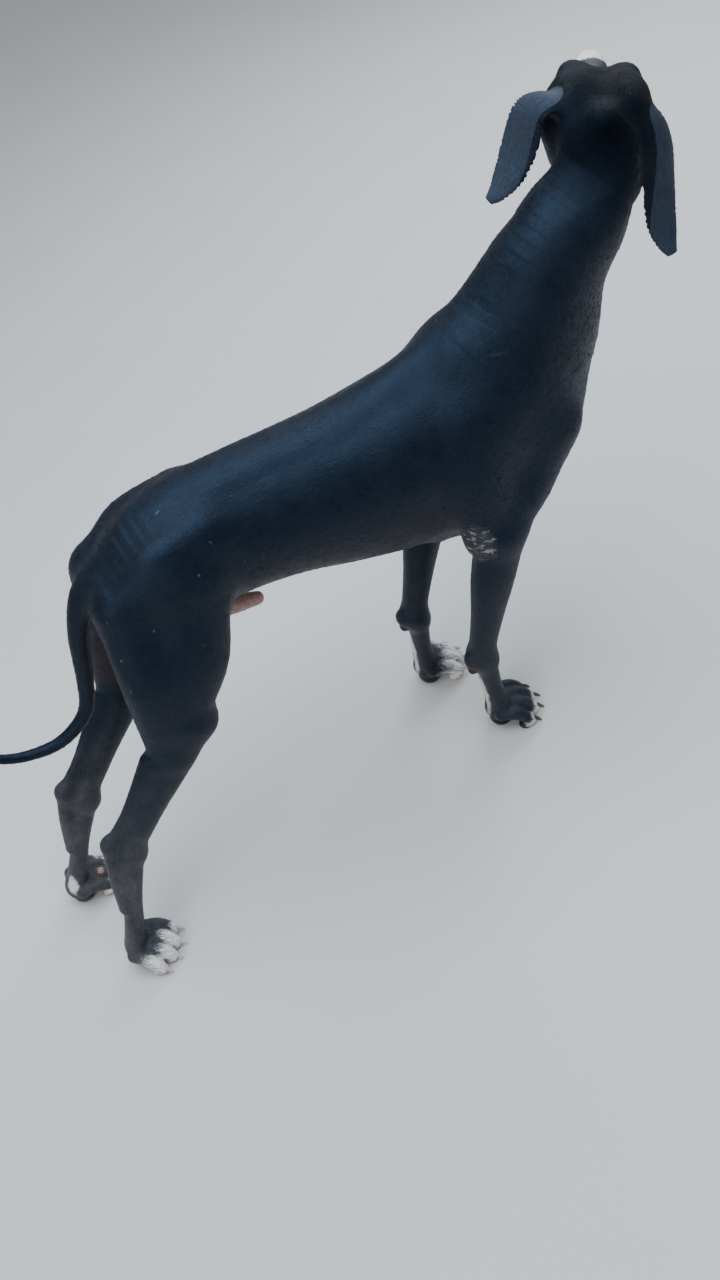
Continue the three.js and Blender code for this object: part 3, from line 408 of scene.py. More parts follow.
def foreleg(side, elbow, carpus, knuckle, **_):
    stop = off(carpus, -24, side * 3, 2)
    return [
        # forearm
        tube([(off(elbow, 6, 0, 18), 36, 50, 42), (mix(elbow, carpus, 0.28), 34, 43, 40),
              (mix(elbow, carpus, 0.6), 29, 33, 30), (mix(elbow, carpus, 0.85), 27, 28, 25),
              (carpus, 29, 29, 25)], blend=26),
        # point of the elbow
        blob(off(elbow, -34, side * 2, 30), 17, 15, 22, WORLD, blend=22),
        # wrist, with its pad behind
        blob(off(carpus, 4, 0, -8), 26, 30, 32, WORLD, blend=16),
        blob(stop, 11, 13, 18, WORLD, blend=12),
        blob(off(stop, -1, 0, -24), 9, 10, 11, WORLD, blend=8),
        # pastern
        tube([(off(carpus, 3, 0, -20), 27, 25, 19), (mix(carpus, knuckle, 0.6), 25, 22, 17),
              (knuckle, 31, 25, 19)], blend=14),
    ]


def hindleg(side, hip, stifle, hock, knuckle, **_):
    heel = off(hock, -24, 0, 34)
    return [
        # front and back of the thigh
        tube([(off(hip, 30, side * 8, 10), 40, 58, 60),
              (off(mix(hip, stifle, 0.5), 14, side * 8, 0), 46, 58, 66),
              (off(stifle, -10, side * 2, 12), 34, 32, 42)], blend=40),
        tube([(vec(332, side * 56, 690), 34, 36), (off(mix(hip, stifle, 0.55), -62, side * 8, 10), 38, 44),
              (off(mix(stifle, hock, 0.25), -14, side * 2, 10), 26, 34)], blend=40),
        # knee
        blob(off(stifle, 0, 0, -2), 29, 30, 38, WORLD, blend=24),
        # shank
        tube([(off(stifle, -10, 0, -6), 34, 35, 40), (mix(stifle, hock, 0.3), 32, 33, 40),
              (mix(stifle, hock, 0.65), 25, 25, 29), (hock, 21, 23, 22)], blend=26),
        # tendon to the heel, and the thin skin between it and the bone
        tube([(off(mix(stifle, heel, 0.35), -18, 0, 14), 18, 22),
              (off(mix(stifle, heel, 0.75), -4, 0, 6), 8, 11), (heel, 12, 13)], blend=14),
        tube([(mix(mix(stifle, hock, 0.6), mix(stifle, heel, 0.6), 0.6), 10, 17),
              (mix(hock, heel, 0.6), 10, 15)], blend=10),
        # hock and heel
        blob(off(hock, 1, 0, -4), 27, 25, 32, WORLD, blend=16),
        tube([(off(heel, 2, 0, 4), 13, 14), (mix(heel, knuckle, 0.3), 16, 16),
              (mix(heel, knuckle, 0.62), 13, 13)], blend=16),
        # pastern
        tube([(off(hock, -4, 0, -16), 21, 22, 21), (mix(hock, knuckle, 0.55), 18, 18, 17),
              (knuckle, 28, 23, 19)], blend=14),
    ]


TOES = [(-34, 22, -7), (-12, 36, -2), (12, 36, 2), (34, 22, 7)]    # place across, length ahead, spread
TOE_START = 30            # a toe turns outwards from this far behind its middle
TOE_LENGTH = 40


class Paw:
    """A paw of a size, on its sole, with rows that are measured as on a paw of full size."""

    def __init__(self, sole, heading, size):
        turn = math.radians(heading)
        self.axes = Axes(sole, vec(math.cos(turn), math.sin(turn), 0))
        self.size = size

    def at(self, a, b, c):
        return self.axes.at(a * self.size, b * self.size, c * self.size)

    def lay(self, toe, rows):
        """Stations along a toe, from (ahead, height, half width, half height) rows."""
        across, ahead, spread = toe
        stations = []
        for a, c, wide, high in rows:
            b = across + spread * (a + TOE_START) / TOE_LENGTH
            stations.append((self.at(ahead + a, b, c), wide * self.size, high * self.size))
        return stations

    def forms(self):
        axes, k = self.axes, self.size
        forms = [blob(self.at(-10, 0, 36), 34 * k, 38 * k, 26 * k, axes, blend=16)]
        for toe in TOES:
            rows = [(-36, 46, 14, 14), (-8, 43, 15.5, 15), (10, 28, 15, 14), (19, 16, 12, 11)]
            forms.append(tube(self.lay(toe, rows), side=axes.l, blend=7))
            ((pad, _, _),) = self.lay(toe, [(8, 7, 0, 0)])
            forms.append(blob(pad, 16 * k, 13 * k, 10 * k, axes, blend=5))
        forms.append(blob(self.at(-14, 0, 10), 25 * k, 30 * k, 13 * k, axes, blend=8))
        return forms


PAWS = {f"fore_{n}": Paw(leg["sole"], leg["heading"], FORE_PAW) for n, leg in FORELEGS.items()}
PAWS.update({f"hind_{n}": Paw(leg["sole"], leg["heading"], HIND_PAW) for n, leg in HINDLEGS.items()})


def eye_axes(s):
    """The eye looks ahead and outwards from its socket."""
    out = math.radians(30)
    gaze = HEAD.f * math.cos(out) + HEAD.l * s * math.sin(out) + HEAD.u * 0.06
    return Axes(HEAD.at(93, s * 41, -47), gaze, HEAD.l)


def lid(s, rise, lift, wide, high):
    """An arc over the eyeball, from corner to corner, that rises by an angle in the middle."""
    eye = eye_axes(s)
    stations = []
    for t in (-1, -0.5, 0, 0.5, 1):
        across, up = math.radians(62 * t), math.radians(rise * (1 - t * t) - 6)
        spot = vec(math.cos(across) * math.cos(up), math.sin(across) * math.cos(up), math.sin(up))
        stations.append((eye.at(*(spot * (EYE_RADIUS + lift))), wide, high))
    return tube(stations, side=HEAD.u, blend=5)


def head():
    def add(*rows, **options):
        forms.append(stretch(HEAD, *rows, **options))

    def knob(a, b, c, long, wide, high, **options):
        forms.append(blob(HEAD.at(a, b, c), long, wide, high, HEAD, **options))

    forms = []
    # skull and the bump behind it
    add((-40, 0, -56, 54, 42, 46), (10, 0, -50, 69, 49, 56), (62, 0, -49, 70, 47, 54),
        (102, 0, -58, 53, 40, 44), blend=44, cap=0.8)
    knob(-50, 0, -20, 20, 16, 12, blend=30)
    # muzzle and the bridge of the nose
    add((92, 0, -80, 42, 36, 46), (150, 0, -85, 37, 40, 46), (210, 0, -88, 35, 38, 44),
        (236, 0, -88, 33, 36, 38), blend=24, cap=0.5)
    add((104, 0, -52, 22, 13), (180, 0, -56, 22, 12), (246, 0, -61, 20, 12), blend=18)
    # lower jaw and chin
    add((10, 0, -114, 34, 20, 24), (90, 0, -126, 28, 16, 18), (180, 0, -130, 24, 14, 16),
        (220, 0, -127, 20, 13, 14), blend=18)
    for s in SIDES:
        knob(36, s * 36, -26, 60, 32, 25, blend=24)
        # cheek bone and cheek
        add((108, s * 50, -64, 11, 12), (68, s * 63, -60, 13, 17), (10, s * 66, -62, 13, 18), blend=30)
        knob(34, s * 48, -92, 48, 20, 36, blend=30)
        # brow
        knob(94, s * 39, -19, 22, 20, 14, blend=18)
        # hanging upper lip
        add((98, s * 35, -106, 9, 16), (130, s * 37, -114, 10, 25), (172, s * 36, -117, 11, 29),
            (214, s * 30, -114, 12, 28), (240, s * 18, -105, 12, 24), (248, s * 8, -98, 9, 18), blend=14)
        # line of the mouth, under the lip and up to its corner
        add((82, s * 42, -108, 2.6, 2.6), (100, s * 41, -124, 2.8, 2.8), (130, s * 40, -138, 3, 3),
            (176, s * 36, -146, 3, 3), (212, s * 28, -143, 3, 3), (238, s * 14, -131, 3, 3),
            (247, 0, -124, 3, 3), blend=4, carve=True)
        # hollow in front of the eye, the skin over the eyeball and the opening between the lids
        knob(126, s * 44, -62, 12, 6, 7, blend=20, carve=True)
        eye = eye_axes(s)
        forms.append(blob(eye.origin, EYE_RADIUS + 3, EYE_RADIUS + 3, EYE_RADIUS + 3, HEAD, blend=12))
        forms.append(blob(eye.at(EYE_RADIUS + 2, 0, -1), 9, 14, 8.5, eye, blend=3, carve=True))
        forms.append(lid(s, 44, 2.4, 2.6, 3.4))
        forms.append(lid(s, -32, 1.6, 2.2, 2.6))
    # groove between the two sides of the upper lip
    add((268, 0, -84, 1.6, 2.6), (262, 0, -98, 1.6, 2.6), (256, 0, -112, 1.6, 2.6), blend=5, carve=True)
    # nose
    knob(253, 0, -66, 16, 22, 18, blend=7)
    for s in SIDES:
        knob(259, s * 14, -69, 10, 9, 11, blend=6)
        knob(271, s * 9, -67, 8, 4.2, 4.4, blend=3, carve=True)
        add((268, s * 14, -69, 2, 3), (258, s * 23, -74, 1.6, 2.4), blend=3, carve=True)
    return forms


EARS = {
    # side, then place beside the crown, half width and half height
    "left": (1, [
        (0, 50, -30, 30, 13), (-3, 80, -22, 33, 9), (-10, 105, -36, 38, 5.2), (-22, 112, -74, 36, 4.2),
        (-36, 118, -104, 30, 3.8), (-50, 131, -130, 20, 3.4), (-58, 146, -146, 8, 3.2)]),
    "right": (-1, [
        (0, -50, -36, 30, 13), (-4, -78, -44, 33, 9), (-16, -95, -74, 36, 5.2), (-32, -103, -116, 34, 4.2),
        (-50, -110, -156, 31, 3.8), (-64, -121, -186, 21, 3.4), (-74, -133, -204, 9, 3.2)]),
}


def ear(side, path):
    a, b, c = path[1][:3]
    return [
        stretch(HEAD, *path, side=HEAD.f * 0.9 + HEAD.l * side * 0.35,
                side_end=HEAD.f * 0.35 + HEAD.l * side * 0.9, blend=12, cap=0.5, cup=side * 0.005),
        # cup under the root of the flap, open to the front
        blob(HEAD.at(a + 20, b - side * 5, c - 16), 20, 9, 9, HEAD, blend=5, carve=True),
    ]


BODY = trunk() + neck() + head() + [f for e in EARS.values() for f in ear(*e)] + tail()
BODY += [f for leg in FORELEGS.values() for f in foreleg(**leg)]
BODY += [f for leg in HINDLEGS.values() for f in hindleg(**leg)]
BODY += [f for paw in PAWS.values() for f in paw.forms()]


# The frame: the eyeball shows where the skeleton's origin lies

eye_low, eye_high = (np.array(corner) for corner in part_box("eye_left"))
SHIFT = (eye_low + eye_high) / 2 - eye_axes(1).origin / METRE


def placed(points):
    return np.asarray(points) / METRE + SHIFT


# Charts: each stretch of the body is laid out along its bone, in the direction that its hair lies

def leg_line(leg, paw):
    names = [n for n in ("elbow", "hip", "stifle", "carpus", "hock", "knuckle") if n in leg]
    return [leg[n] for n in names] + [paw.at(30, 0, 22)]


ROWS = [
    # name, points along the bone, half thickness, hair length
    ("trunk", [vec(1120, 0, 650), vec(900, 3, 640), vec(600, 6, 680), vec(345, 0, 690)], 120, 6.5),
    ("neck", [vec(1250, -40, 940), vec(1150, -22, 830), vec(1040, -10, 700)], 95, 6),
    ("head", [HEAD.at(262, 0, -92), HEAD.at(120, 0, -80), HEAD.at(-50, 0, -60)], 50, 3.2),
    ("tail", [vec(*row[:3]) for row in TAIL[1:]], 14, 8),
]
for name, (_, path) in EARS.items():
    ROWS.append((f"{name}_ear", [HEAD.at(*row[:3]) for row in path[1:]], 22, 2))
for name, leg in FORELEGS.items():
    ROWS.append((f"{name}_foreleg", leg_line(leg, PAWS[f"fore_{name}"]), 34, 4.5))
for name, leg in HINDLEGS.items():
    ROWS.append((f"{name}_hindleg", leg_line(leg, PAWS[f"hind_{name}"]), 40, 5))


class Chart:
    """A line of bone, with the directions along and across each of its straight pieces."""

    def __init__(self, name, line, radius, hair):
        self.name, self.radius, self.hair = name, radius, hair
        self.line = np.array(line)
        span = np.diff(self.line, axis=0)
        self.length = np.linalg.norm(span, axis=1)
        self.way = span / self.length[:, None]
        self.start = np.concatenate([[0], np.cumsum(self.length)])
        side = HEAD.l if "head" in name or "ear" in name else LEFT
        self.side = np.array([unit(side - w * (side @ w)) for w in self.way])

    def lay(self, points):
        """Distance from the bone, place along it, the two offsets across it, and its direction."""
        rel = points[:, None] - self.line[None, :-1]
        along = (rel * self.way).sum(2)
        held = np.clip(along, 0, self.length)
        away = np.linalg.norm(rel - held[..., None] * self.way, axis=2)
        best = away.argmin(1)
        pick = lambda grid: np.take_along_axis(grid, best[:, None], 1)[:, 0]
        way, side = self.way[best], self.side[best]
        rel = np.take_along_axis(rel, best[:, None, None], 1)[:, 0]
        across = (rel * side).sum(1)
        above = (rel * np.cross(way, side)).sum(1)
        return pick(away), self.start[best] + pick(along), across, above, way


CHARTS = [Chart(*row) for row in ROWS]
CHART = {chart.name: i for i, chart in enumerate(CHARTS)}
COLUMNS = 4               # patches of the unwrap side by side
RIM = 0.02                # bare strip round each patch
BEYOND = 60               # a patch goes on this far past each end of its bone
CRISP = 8                 # how quickly the lie of the hair turns from one chart's to the next


def numbers(*names):
    return [CHART[name] for name in names]


def lay_out(points):
    """Which chart each point is on, its place there, its patch of the unwrap and the lie of its hair."""
    rows = [chart.lay(points) for chart in CHARTS]
    score = np.stack([row[0] / chart.radius for row, chart in zip(rows, CHARTS)], 1)
    best = score.argmin(1)
    chosen = lambda k: np.stack([row[k] for row in rows], 1)[np.arange(len(points)), best]
    straight = np.stack([chosen(1), chosen(2), chosen(3)], 1)
    weight = np.exp(-CRISP * (score - score.min(1, keepdims=True)))
    way = sum(w[:, None] * row[4] for w, row in zip(weight.T, rows))
    long = np.array([chart.start[-1] + 2 * BEYOND for chart in CHARTS])[best]
    share = ((straight[:, 0] + BEYOND) / long).clip(0, 1)
    turn = np.arctan2(straight[:, 2], straight[:, 1]) / math.tau + 0.5
    corner = np.stack([best % COLUMNS, best // COLUMNS], 1)
    uv = (corner + RIM + (1 - 2 * RIM) * np.stack([turn, share], 1)) / COLUMNS
    return best, straight, uv, way


# Markings: how deep each point lies inside some rounded patches, 0 outside them and 1 well inside

def patches(points, rows, soft):
    """From rows of a centre, half sizes and their axes, and the width of the soft edge."""
    value = np.zeros(len(points))
    for centre, sizes, axes in rows:
        rel = points - centre
        local = np.stack([rel @ axes.f, rel @ axes.l, rel @ axes.u]) / np.array(sizes)[:, None]
        depth = (1 - np.sqrt((local ** 2).sum(0))) * min(sizes) / soft
        value = np.maximum(value, np.clip(0.5 + depth / 2, 0, 1))
    return value


def toe_rows(paw, toes, sizes, ahead=4, height=20):
    paw = PAWS[paw]
    return [(paw.lay(TOES[i], [(ahead, height, 0, 0)])[0][0], sizes, paw.axes) for i in toes]


def ramp(value, low, high):
    t = np.clip((value - low) / (high - low), 0, 1)
    return t * t * (3 - 2 * t)


def markings(points, normals, chart):
    """Each marking's strength at every point of the skin, by name."""
    ear = np.isin(chart, numbers("left_ear", "right_ear"))
    height, down = points[:, 2], -normals[:, 2]
    knuckles = [off(FORELEGS[name]["knuckle"], -16, 0, 34) for name in ("left", "right")]
    white = [
        # end of the muzzle, breast, backs of the fore pasterns, and a spot by the left hind foot
        (HEAD.at(250, 0, -112), (44, 60, 46), HEAD), (HEAD.at(246, 0, -62), (38, 40, 34), HEAD),
        (vec(1100, 0, 560), (40, 34, 62), WORLD), (knuckles[0], (22, 9, 62), WORLD),
        (knuckles[1], (22, 8, 56), WORLD), (vec(-26, 68, 64), (12, 12, 24), WORLD),
        *toe_rows("fore_left", range(4), (36, 16, 34)),
        *toe_rows("fore_right", (0, 1, 2), (15, 11, 18), 20, 12),
        *toe_rows("hind_right", (0, 1, 2), (29, 15, 30), 8),
        *toe_rows("hind_right", (3,), (14, 11, 18), 20, 14),
        *toe_rows("hind_left", (0, 2, 3), (18, 11, 16), 16, 12),
    ]
    elbows, thighs = [], []
    for leg in FORELEGS.values():
        elbows.append((off(leg["elbow"], -40, leg["side"] * 22, 42), (26, 26, 38), WORLD))
    for leg in HINDLEGS.values():
        inner = off(mix(leg["hip"], leg["stifle"], 0.7), -30, leg["side"] * -44, 0)
        thighs.append((inner, (90, 44, 110), WORLD))
    # painted shade on the top of the skull and on the nape
    crown = [(HEAD.at(20, 0, 10), (150, 92, 70), HEAD), (HEAD.at(-80, 0, -40), (90, 70, 60), HEAD)]
    nostrils = [(HEAD.at(274, s * 9.5, -67), (8, 4.6, 5), HEAD) for s in SIDES]
    pink = [(vec(500, 0, 532), (60, 30, 26), WORLD), (vec(33, 78, 46), (6, 7, 5), WORLD)]
    eyes = np.min([np.linalg.norm(points - eye_axes(s).origin, axis=1) for s in SIDES], 0)
    return {
        "white": patches(points, white, 14),
        "callus": patches(points, elbows, 24),
        "tan": patches(points, thighs, 60),
        "pink": patches(points, pink, 8),
        "leather": patches(points, [(HEAD.at(262, 0, -67), (19, 25, 20), HEAD)], 3),
        # the nostril openings, where shade is painted inside them
        "nostril": patches(points, nostrils, 3),
        "crown": patches(points, crown, 50) * (1 - ear),
        "lip": patches(points, [(HEAD.at(206, 0, -150), (80, 60, 17), HEAD)], 10),
        "rim": 1 - ramp(eyes, EYE_RADIUS + 2, EYE_RADIUS + 7),
        "ear": ear.astype(float),
        "pad": ramp(down, 0.35, 0.7) * ramp(-height, -26, -16),
        # faces that look down, where painted warm bounce light goes
        "under": ramp(down, -0.35, 0.6),
        "hind": ramp(-points[:, 0], -620, -420) * ramp(height, 240, 420),
        # lower legs paler towards the floor: dust, and painted light bounced from the ground
        "dust": ramp(-height, -460, -180) * np.where(points[:, 0] < 600, 1, 0.35),
    }


# Meshes

def make(name, points, faces, sizes, material, normals=None):
    """A mesh object from points in millimetres, the corners of its faces and the size of each face."""
    mesh = bpy.data.meshes.new(name)
    points = placed(points)
    corners = np.asarray(faces, np.int32).ravel()
    sizes = np.broadcast_to(sizes, (len(corners) // sizes,)) if np.isscalar(sizes) else sizes
    mesh.vertices.add(len(points))
    mesh.vertices.foreach_set("co", points.astype(np.float32).ravel())
    mesh.loops.add(len(corners))
    mesh.loops.foreach_set("vertex_index", corners)
    mesh.polygons.add(len(sizes))
    starts = np.concatenate([[0], np.cumsum(sizes)[:-1]]).astype(np.int32)
    mesh.polygons.foreach_set("loop_start", starts)
    mesh.polygons.foreach_set("use_smooth", np.ones(len(sizes), bool))
    mesh.update(calc_edges=True)
    mesh.validate()
    if normals is not None:
        mesh.normals_split_custom_set_from_vertices(normals)
    piece = bpy.data.objects.new(name, mesh)
    bpy.context.scene.collection.objects.link(piece)
    mesh.materials.append(material)
    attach(piece, "root")
    return piece


def give(piece, name, values, kind="FLOAT"):
    layer = piece.data.attributes.new(name, kind, "POINT")
    key = "vector" if kind == "FLOAT_VECTOR" else "value"
    layer.data.foreach_set(key, np.asarray(values, np.float32).ravel())


def give_places(piece, place, straight=None):
    """Where each point lies for the materials, in metres: in the body, and along the hair or horn."""
    give(piece, "place", place / METRE, "FLOAT_VECTOR")
    if straight is not None:
        give(piece, "straight", straight / METRE, "FLOAT_VECTOR")


ROOT_DEPTH = 0.5          # a tuft starts this far inside the skin
LOWEST = 0.3              # and stays this far above the floor
BLADE = np.array([[0, 1, 2], [0, 5, 3], [0, 2, 5], [2, 4, 5], [2, 1, 4], [1, 3, 4], [1, 0, 3],
                  [3, 5, 6], [5, 4, 6], [4, 3, 6]])
BLADE_PATCH = np.array([[0, 0], [1, 0], [0.5, 0.3], [0, 0.6], [1, 0.6], [0.5, 0.6], [0.5, 1]])
BLADE_POINTS = len(BLADE_PATCH)
PATCH_SIZE = 0.003        # of a tuft on the unwrap, which is 1 wide


def spikes(roots, normals, ways, lengths, widths, lift, bend):
    """Closed, tapered, slightly bent blades, each three-sided with one joint: ten triangles."""
    side = np.cross(normals, ways)
    side /= np.linalg.norm(side, axis=1, keepdims=True)
    along = np.cross(side, normals) * lengths[:, None]
    across, above = side * widths[:, None], normals * widths[:, None]
    rise, sway = normals * lift[:, None], side * bend[:, None]
    base = roots - normals * ROOT_DEPTH
    middle = roots + along * 0.5 + rise + sway * 0.3
    tip = roots + along + rise * 1.5 + sway
    points = np.stack([base + across / 2, base - across / 2, base + above / 2, middle + across * 0.42,
                       middle - across * 0.42, middle + above * 0.3, tip], 1)
    points[..., 2] = np.maximum(points[..., 2], LOWEST)
    faces = BLADE[None] + np.arange(len(roots))[:, None, None] * BLADE_POINTS
    return points.reshape(-1, 3), faces.reshape(-1, 3)


# Materials

class Nodes:
    """Short words for building a node tree. Each gives the output of the node that it adds."""

    def __init__(self, name):
        self.material = bpy.data.materials.new(name)
        self.material.use_nodes = True
        self.tree = self.material.node_tree
        self.shader = self.tree.nodes["Principled BSDF"]

    def node(self, kind, inputs, output=0, **settings):
        node = self.tree.nodes.new(f"ShaderNode{kind}")
        for key, value in settings.items():
            setattr(node, key, value)
        for key, value in inputs.items():
            self.feed(node.inputs[key], value)
        return node.outputs[output]

    def feed(self, socket, value):
        if isinstance(value, bpy.types.NodeSocket):
            self.tree.links.new(value, socket)
        elif socket.type == "RGBA" and len(value) == 3:
            socket.default_value = (*value, 1)
        else:
            socket.default_value = value

    def mark(self, name, output="Fac"):
        return self.node("Attribute", {}, output, attribute_name=name)

    def math(self, operation, *values):
        return self.node("Math", dict(enumerate(values)), operation=operation)

    def times(self, a, b):
        return self.math("MULTIPLY", a, b)

    def noise(self, place, scale, detail=3.0):
        inputs = {"Vector": place, "Scale": scale, "Detail": detail, "Roughness": 0.55}
        return self.node("TexNoise", inputs, "Fac")

    def blend(self, factor, a, b, mode="MIX"):
        return self.node("Mix", {0: factor, 6: a, 7: b}, 2, data_type="RGBA", blend_type=mode)

    def over(self, colour, *layers):
        """A colour under layers of a strength and a tint each."""
        for strength, tint in layers:
            colour = self.blend(strength, colour, tint)
        return colour

    def ramp(self, value, low, high, start=0.0, end=1.0):
        inputs = {"Value": value, "From Min": low, "From Max": high, "To Min": start, "To Max": end}
        return self.node("MapRange", inputs, interpolation_type="SMOOTHSTEP")

    def scaled(self, place, *factors):
        return self.node("Mapping", {"Vector": place, "Scale": factors})

    def bump(self, height, strength, distance, normal=None):
        inputs = {"Height": height, "Strength": strength, "Distance": distance}
        if normal is not None:
            inputs["Normal"] = normal
        return self.node("Bump", inputs)

    def finish(self, **values):
        for key, value in values.items():
            self.feed(self.shader.inputs[key.replace("_", " ")], value)
        return self.material


def darker(colour, share):
    return tuple(share * c for c in colour)


# the coat's black, with a faint painted blue of reflected sky
BLACK_WITH_PAINTED_BLUE = (0.0034, 0.0045, 0.0075)
# painted shade on the top of the skull and on the nape
PAINTED_SHADE = (0.0015, 0.0017, 0.0022)
# painted warm light bounced up from below, brown on faces that look down
PAINTED_BOUNCE_BROWN = (0.016, 0.0095, 0.0065)
# dust, and painted light bounced from the ground, on the lower legs
DUST_AND_BOUNCE = (0.085, 0.077, 0.072)
RIDGE = (0.34, 0.32, 0.30)
NICK = (0.16, 0.15, 0.14)
LIP = (0.012, 0.010, 0.010)
PAD = (0.030, 0.026, 0.026)
NOSE = (0.026, 0.025, 0.026)
# painted shade inside the nostrils
PAINTED_NOSTRIL_SHADE = (0.002, 0.0015, 0.0015)
# painted blue sky reflection: every specular reflection of the coat is tinted blue
PAINTED_SKY_SHEEN = (0.40, 0.66, 1.0)
TINTS = {
    "ear": (0.024, 0.029, 0.040),
    "callus": (0.035, 0.034, 0.034),
    "tan": (0.034, 0.016, 0.011),
    "pink": (0.42, 0.25, 0.20),
    "white": (0.72, 0.69, 0.66),
}


def hide(name, hair):
    """Skin with short hair, or the hair itself: the same markings, from the same points."""
    n = Nodes(name)
    place, straight = n.mark("place", "Vector"), n.mark("straight", "Vector")
    mottle = n.noise(place, 22.0, 4.0)
    fine = n.noise(place, 160.0)
    streak = n.noise(n.scaled(straight, 0.10, 1, 1), 620.0, 2.0)
    wrinkle = n.noise(n.scaled(place, 1, 1, 2.2), 70.0)
    wander = n.times(n.math("SUBTRACT", n.math("ADD", mottle, streak), 1.0), 0.45)

    def ragged(strength, soft=0.15):
        """The strength of a marking, with an edge that wanders with the hair."""
        return n.ramp(n.math("ADD", strength, wander), 0.5 - soft, 0.5 + soft)

    masks = {key: ragged(n.mark(key)) for key in TINTS}
    # a few pale nicks and specks of dust on the hindquarters
    nick = n.ramp(n.noise(n.scaled(place, 1, 1, 0.35), 110.0, 1.0), 0.75, 0.80)
    colour = n.over(
        BLACK_WITH_PAINTED_BLUE,
        (n.ramp(mottle, 0.35, 0.7), darker(BLACK_WITH_PAINTED_BLUE, 1.5)),
        # painted warm bounce light: brown on faces that look down
        (n.times(n.mark("under"), n.ramp(mottle, 0.25, 0.75, 0.5, 1.0)), PAINTED_BOUNCE_BROWN),
        # dust and painted ground bounce light on the lower legs
        (n.times(n.mark("dust"), n.ramp(mottle, 0.3, 0.7, 0.35, 0.75)), DUST_AND_BOUNCE),
        # painted shade on the skull and nape
        (n.times(n.mark("crown"), 0.7), PAINTED_SHADE),
        *[(masks[key], tint) for key, tint in TINTS.items()],
        (n.times(n.times(masks["callus"], n.ramp(wrinkle, 0.52, 0.70)), 0.8), RIDGE),
        (n.times(n.times(nick, n.mark("hind")), 0.4), NICK),
        (ragged(n.math("MAXIMUM", n.mark("rim"), n.mark("lip")), 0.1), LIP),
        (ragged(n.mark("pad")), PAD),
        (n.mark("leather"), NOSE),
        # painted shade inside the nostrils
        (n.mark("nostril"), PAINTED_NOSTRIL_SHADE),
    )
    spread = 0.10 if hair else 0.22
    shade = n.times(n.ramp(streak, 0.3, 0.7, 1 - spread, 1 + spread),
                    n.ramp(fine, 0.3, 0.7, 1 - spread / 2, 1 + spread / 2))
    grey = n.node("CombineColor", {"Red": shade, "Green": shade, "Blue": shade})
    dull = n.math("MAXIMUM", masks["white"], n.math("MAXIMUM", masks["callus"], n.mark("ear")))
    roughness = n.math("ADD", n.ramp(mottle, 0.3, 0.7, 0.42, 0.54), n.times(dull, 0.2))
    n.finish(Base_Color=n.blend(1.0, colour, grey, "MULTIPLY"),
             # the skull's painted shade also comes with rougher, weaker reflections
             Roughness=n.math("ADD", roughness, n.times(n.mark("crown"), 0.2)),
             # the specular tint paints a blue sky reflection
             Specular_IOR_Level=n.ramp(n.mark("crown"), 0, 1, 0.3, 0.07), Specular_Tint=PAINTED_SKY_SHEEN)
    if hair:
        return n.material
    # hair, folds of the callus, unevenness of the skin, and the grain of nose and pads
    pebble = n.node("TexVoronoi", {"Vector": place, "Scale": 620.0}, feature="SMOOTH_F1")
    leather = n.math("MAXIMUM", n.mark("leather"), n.mark("pad"))
    relief = n.bump(streak, 0.55, 0.0012)
    relief = n.bump(n.times(wrinkle, n.mark("callus")), 0.9, 0.004, relief)
    relief = n.bump(n.noise(place, 34.0, 2.0), 0.35, 0.004, relief)
    return n.finish(Normal=n.bump(n.times(pebble, leather), 0.8, 0.0012, relief))


def horn(name, root, pale):
    n = Nodes(name)
    line = n.noise(n.scaled(n.mark("straight", "Vector"), 0.2, 1, 1), 900.0, 2.0)
    colour = n.over(root, (n.ramp(n.mark("along"), 0.0, 0.7), pale),
                    (n.ramp(line, 0.4, 0.75, 0.0, 0.5), darker(pale, 0.5)))
    grain = n.bump(n.noise(n.mark("place", "Vector"), 700.0, 2.0), 0.3, 0.0006)
    return n.finish(Base_Color=colour, Roughness=n.ramp(line, 0.3, 0.7, 0.22, 0.4), Normal=grain)


def eyeball_material():
    """Pupil, iris with its dark rim, and veined white, by the angle from the middle in degrees."""
    n = Nodes("eye_gloss")
    angle = n.mark("angle")
    rays = n.noise(n.scaled(n.mark("straight", "Vector"), 1, 1, 0.05), 9.0, 4.0)
    veins = n.ramp(n.noise(n.mark("place", "Vector"), 240.0, 4.0), 0.45, 0.62)
    pupil, rim, corner = (0.001, 0.001, 0.001), (0.012, 0.007, 0.005), (0.08, 0.05, 0.04)
    iris = n.over((0.035, 0.015, 0.006), (n.ramp(rays, 0.3, 0.7), (0.11, 0.05, 0.018)),
                  (n.ramp(angle, 25, 30), rim))
    white = n.blend(veins, (0.42, 0.36, 0.33), (0.30, 0.14, 0.11))
    white = n.blend(n.ramp(angle, 34, 48), corner, white)
    colour = n.over(pupil, (n.ramp(angle, 10.5, 12), n.blend(n.ramp(angle, 29, 33), iris, white)))
    return n.finish(Base_Color=colour, Roughness=n.ramp(rays, 0.2, 0.8, 0.18, 0.3),
                    Coat_Weight=1.0, Coat_Roughness=0.02)


def bristle():
    n = Nodes("bristle")
    tone = n.noise(n.mark("place", "Vector"), 90.0, 2.0)
    return n.finish(Base_Color=n.blend(n.ramp(tone, 0.4, 0.6), (0.02, 0.018, 0.018), (0.35, 0.33, 0.31)),
                    Roughness=n.ramp(tone, 0.3, 0.7, 0.35, 0.5))


def floor_material():
    n = Nodes("studio_floor")
    tone = n.noise(n.node("TexCoord", {}, "Object"), 3.0)
    return n.finish(Base_Color=n.blend(tone, (0.62, 0.61, 0.59), (0.66, 0.65, 0.63)),
                    Roughness=n.ramp(tone, 0.3, 0.7, 0.75, 0.85))



# The skin

def from_ears(points):
    return np.min([CHARTS[i].lay(points)[0] for i in numbers("left_ear", "right_ear")], 0)


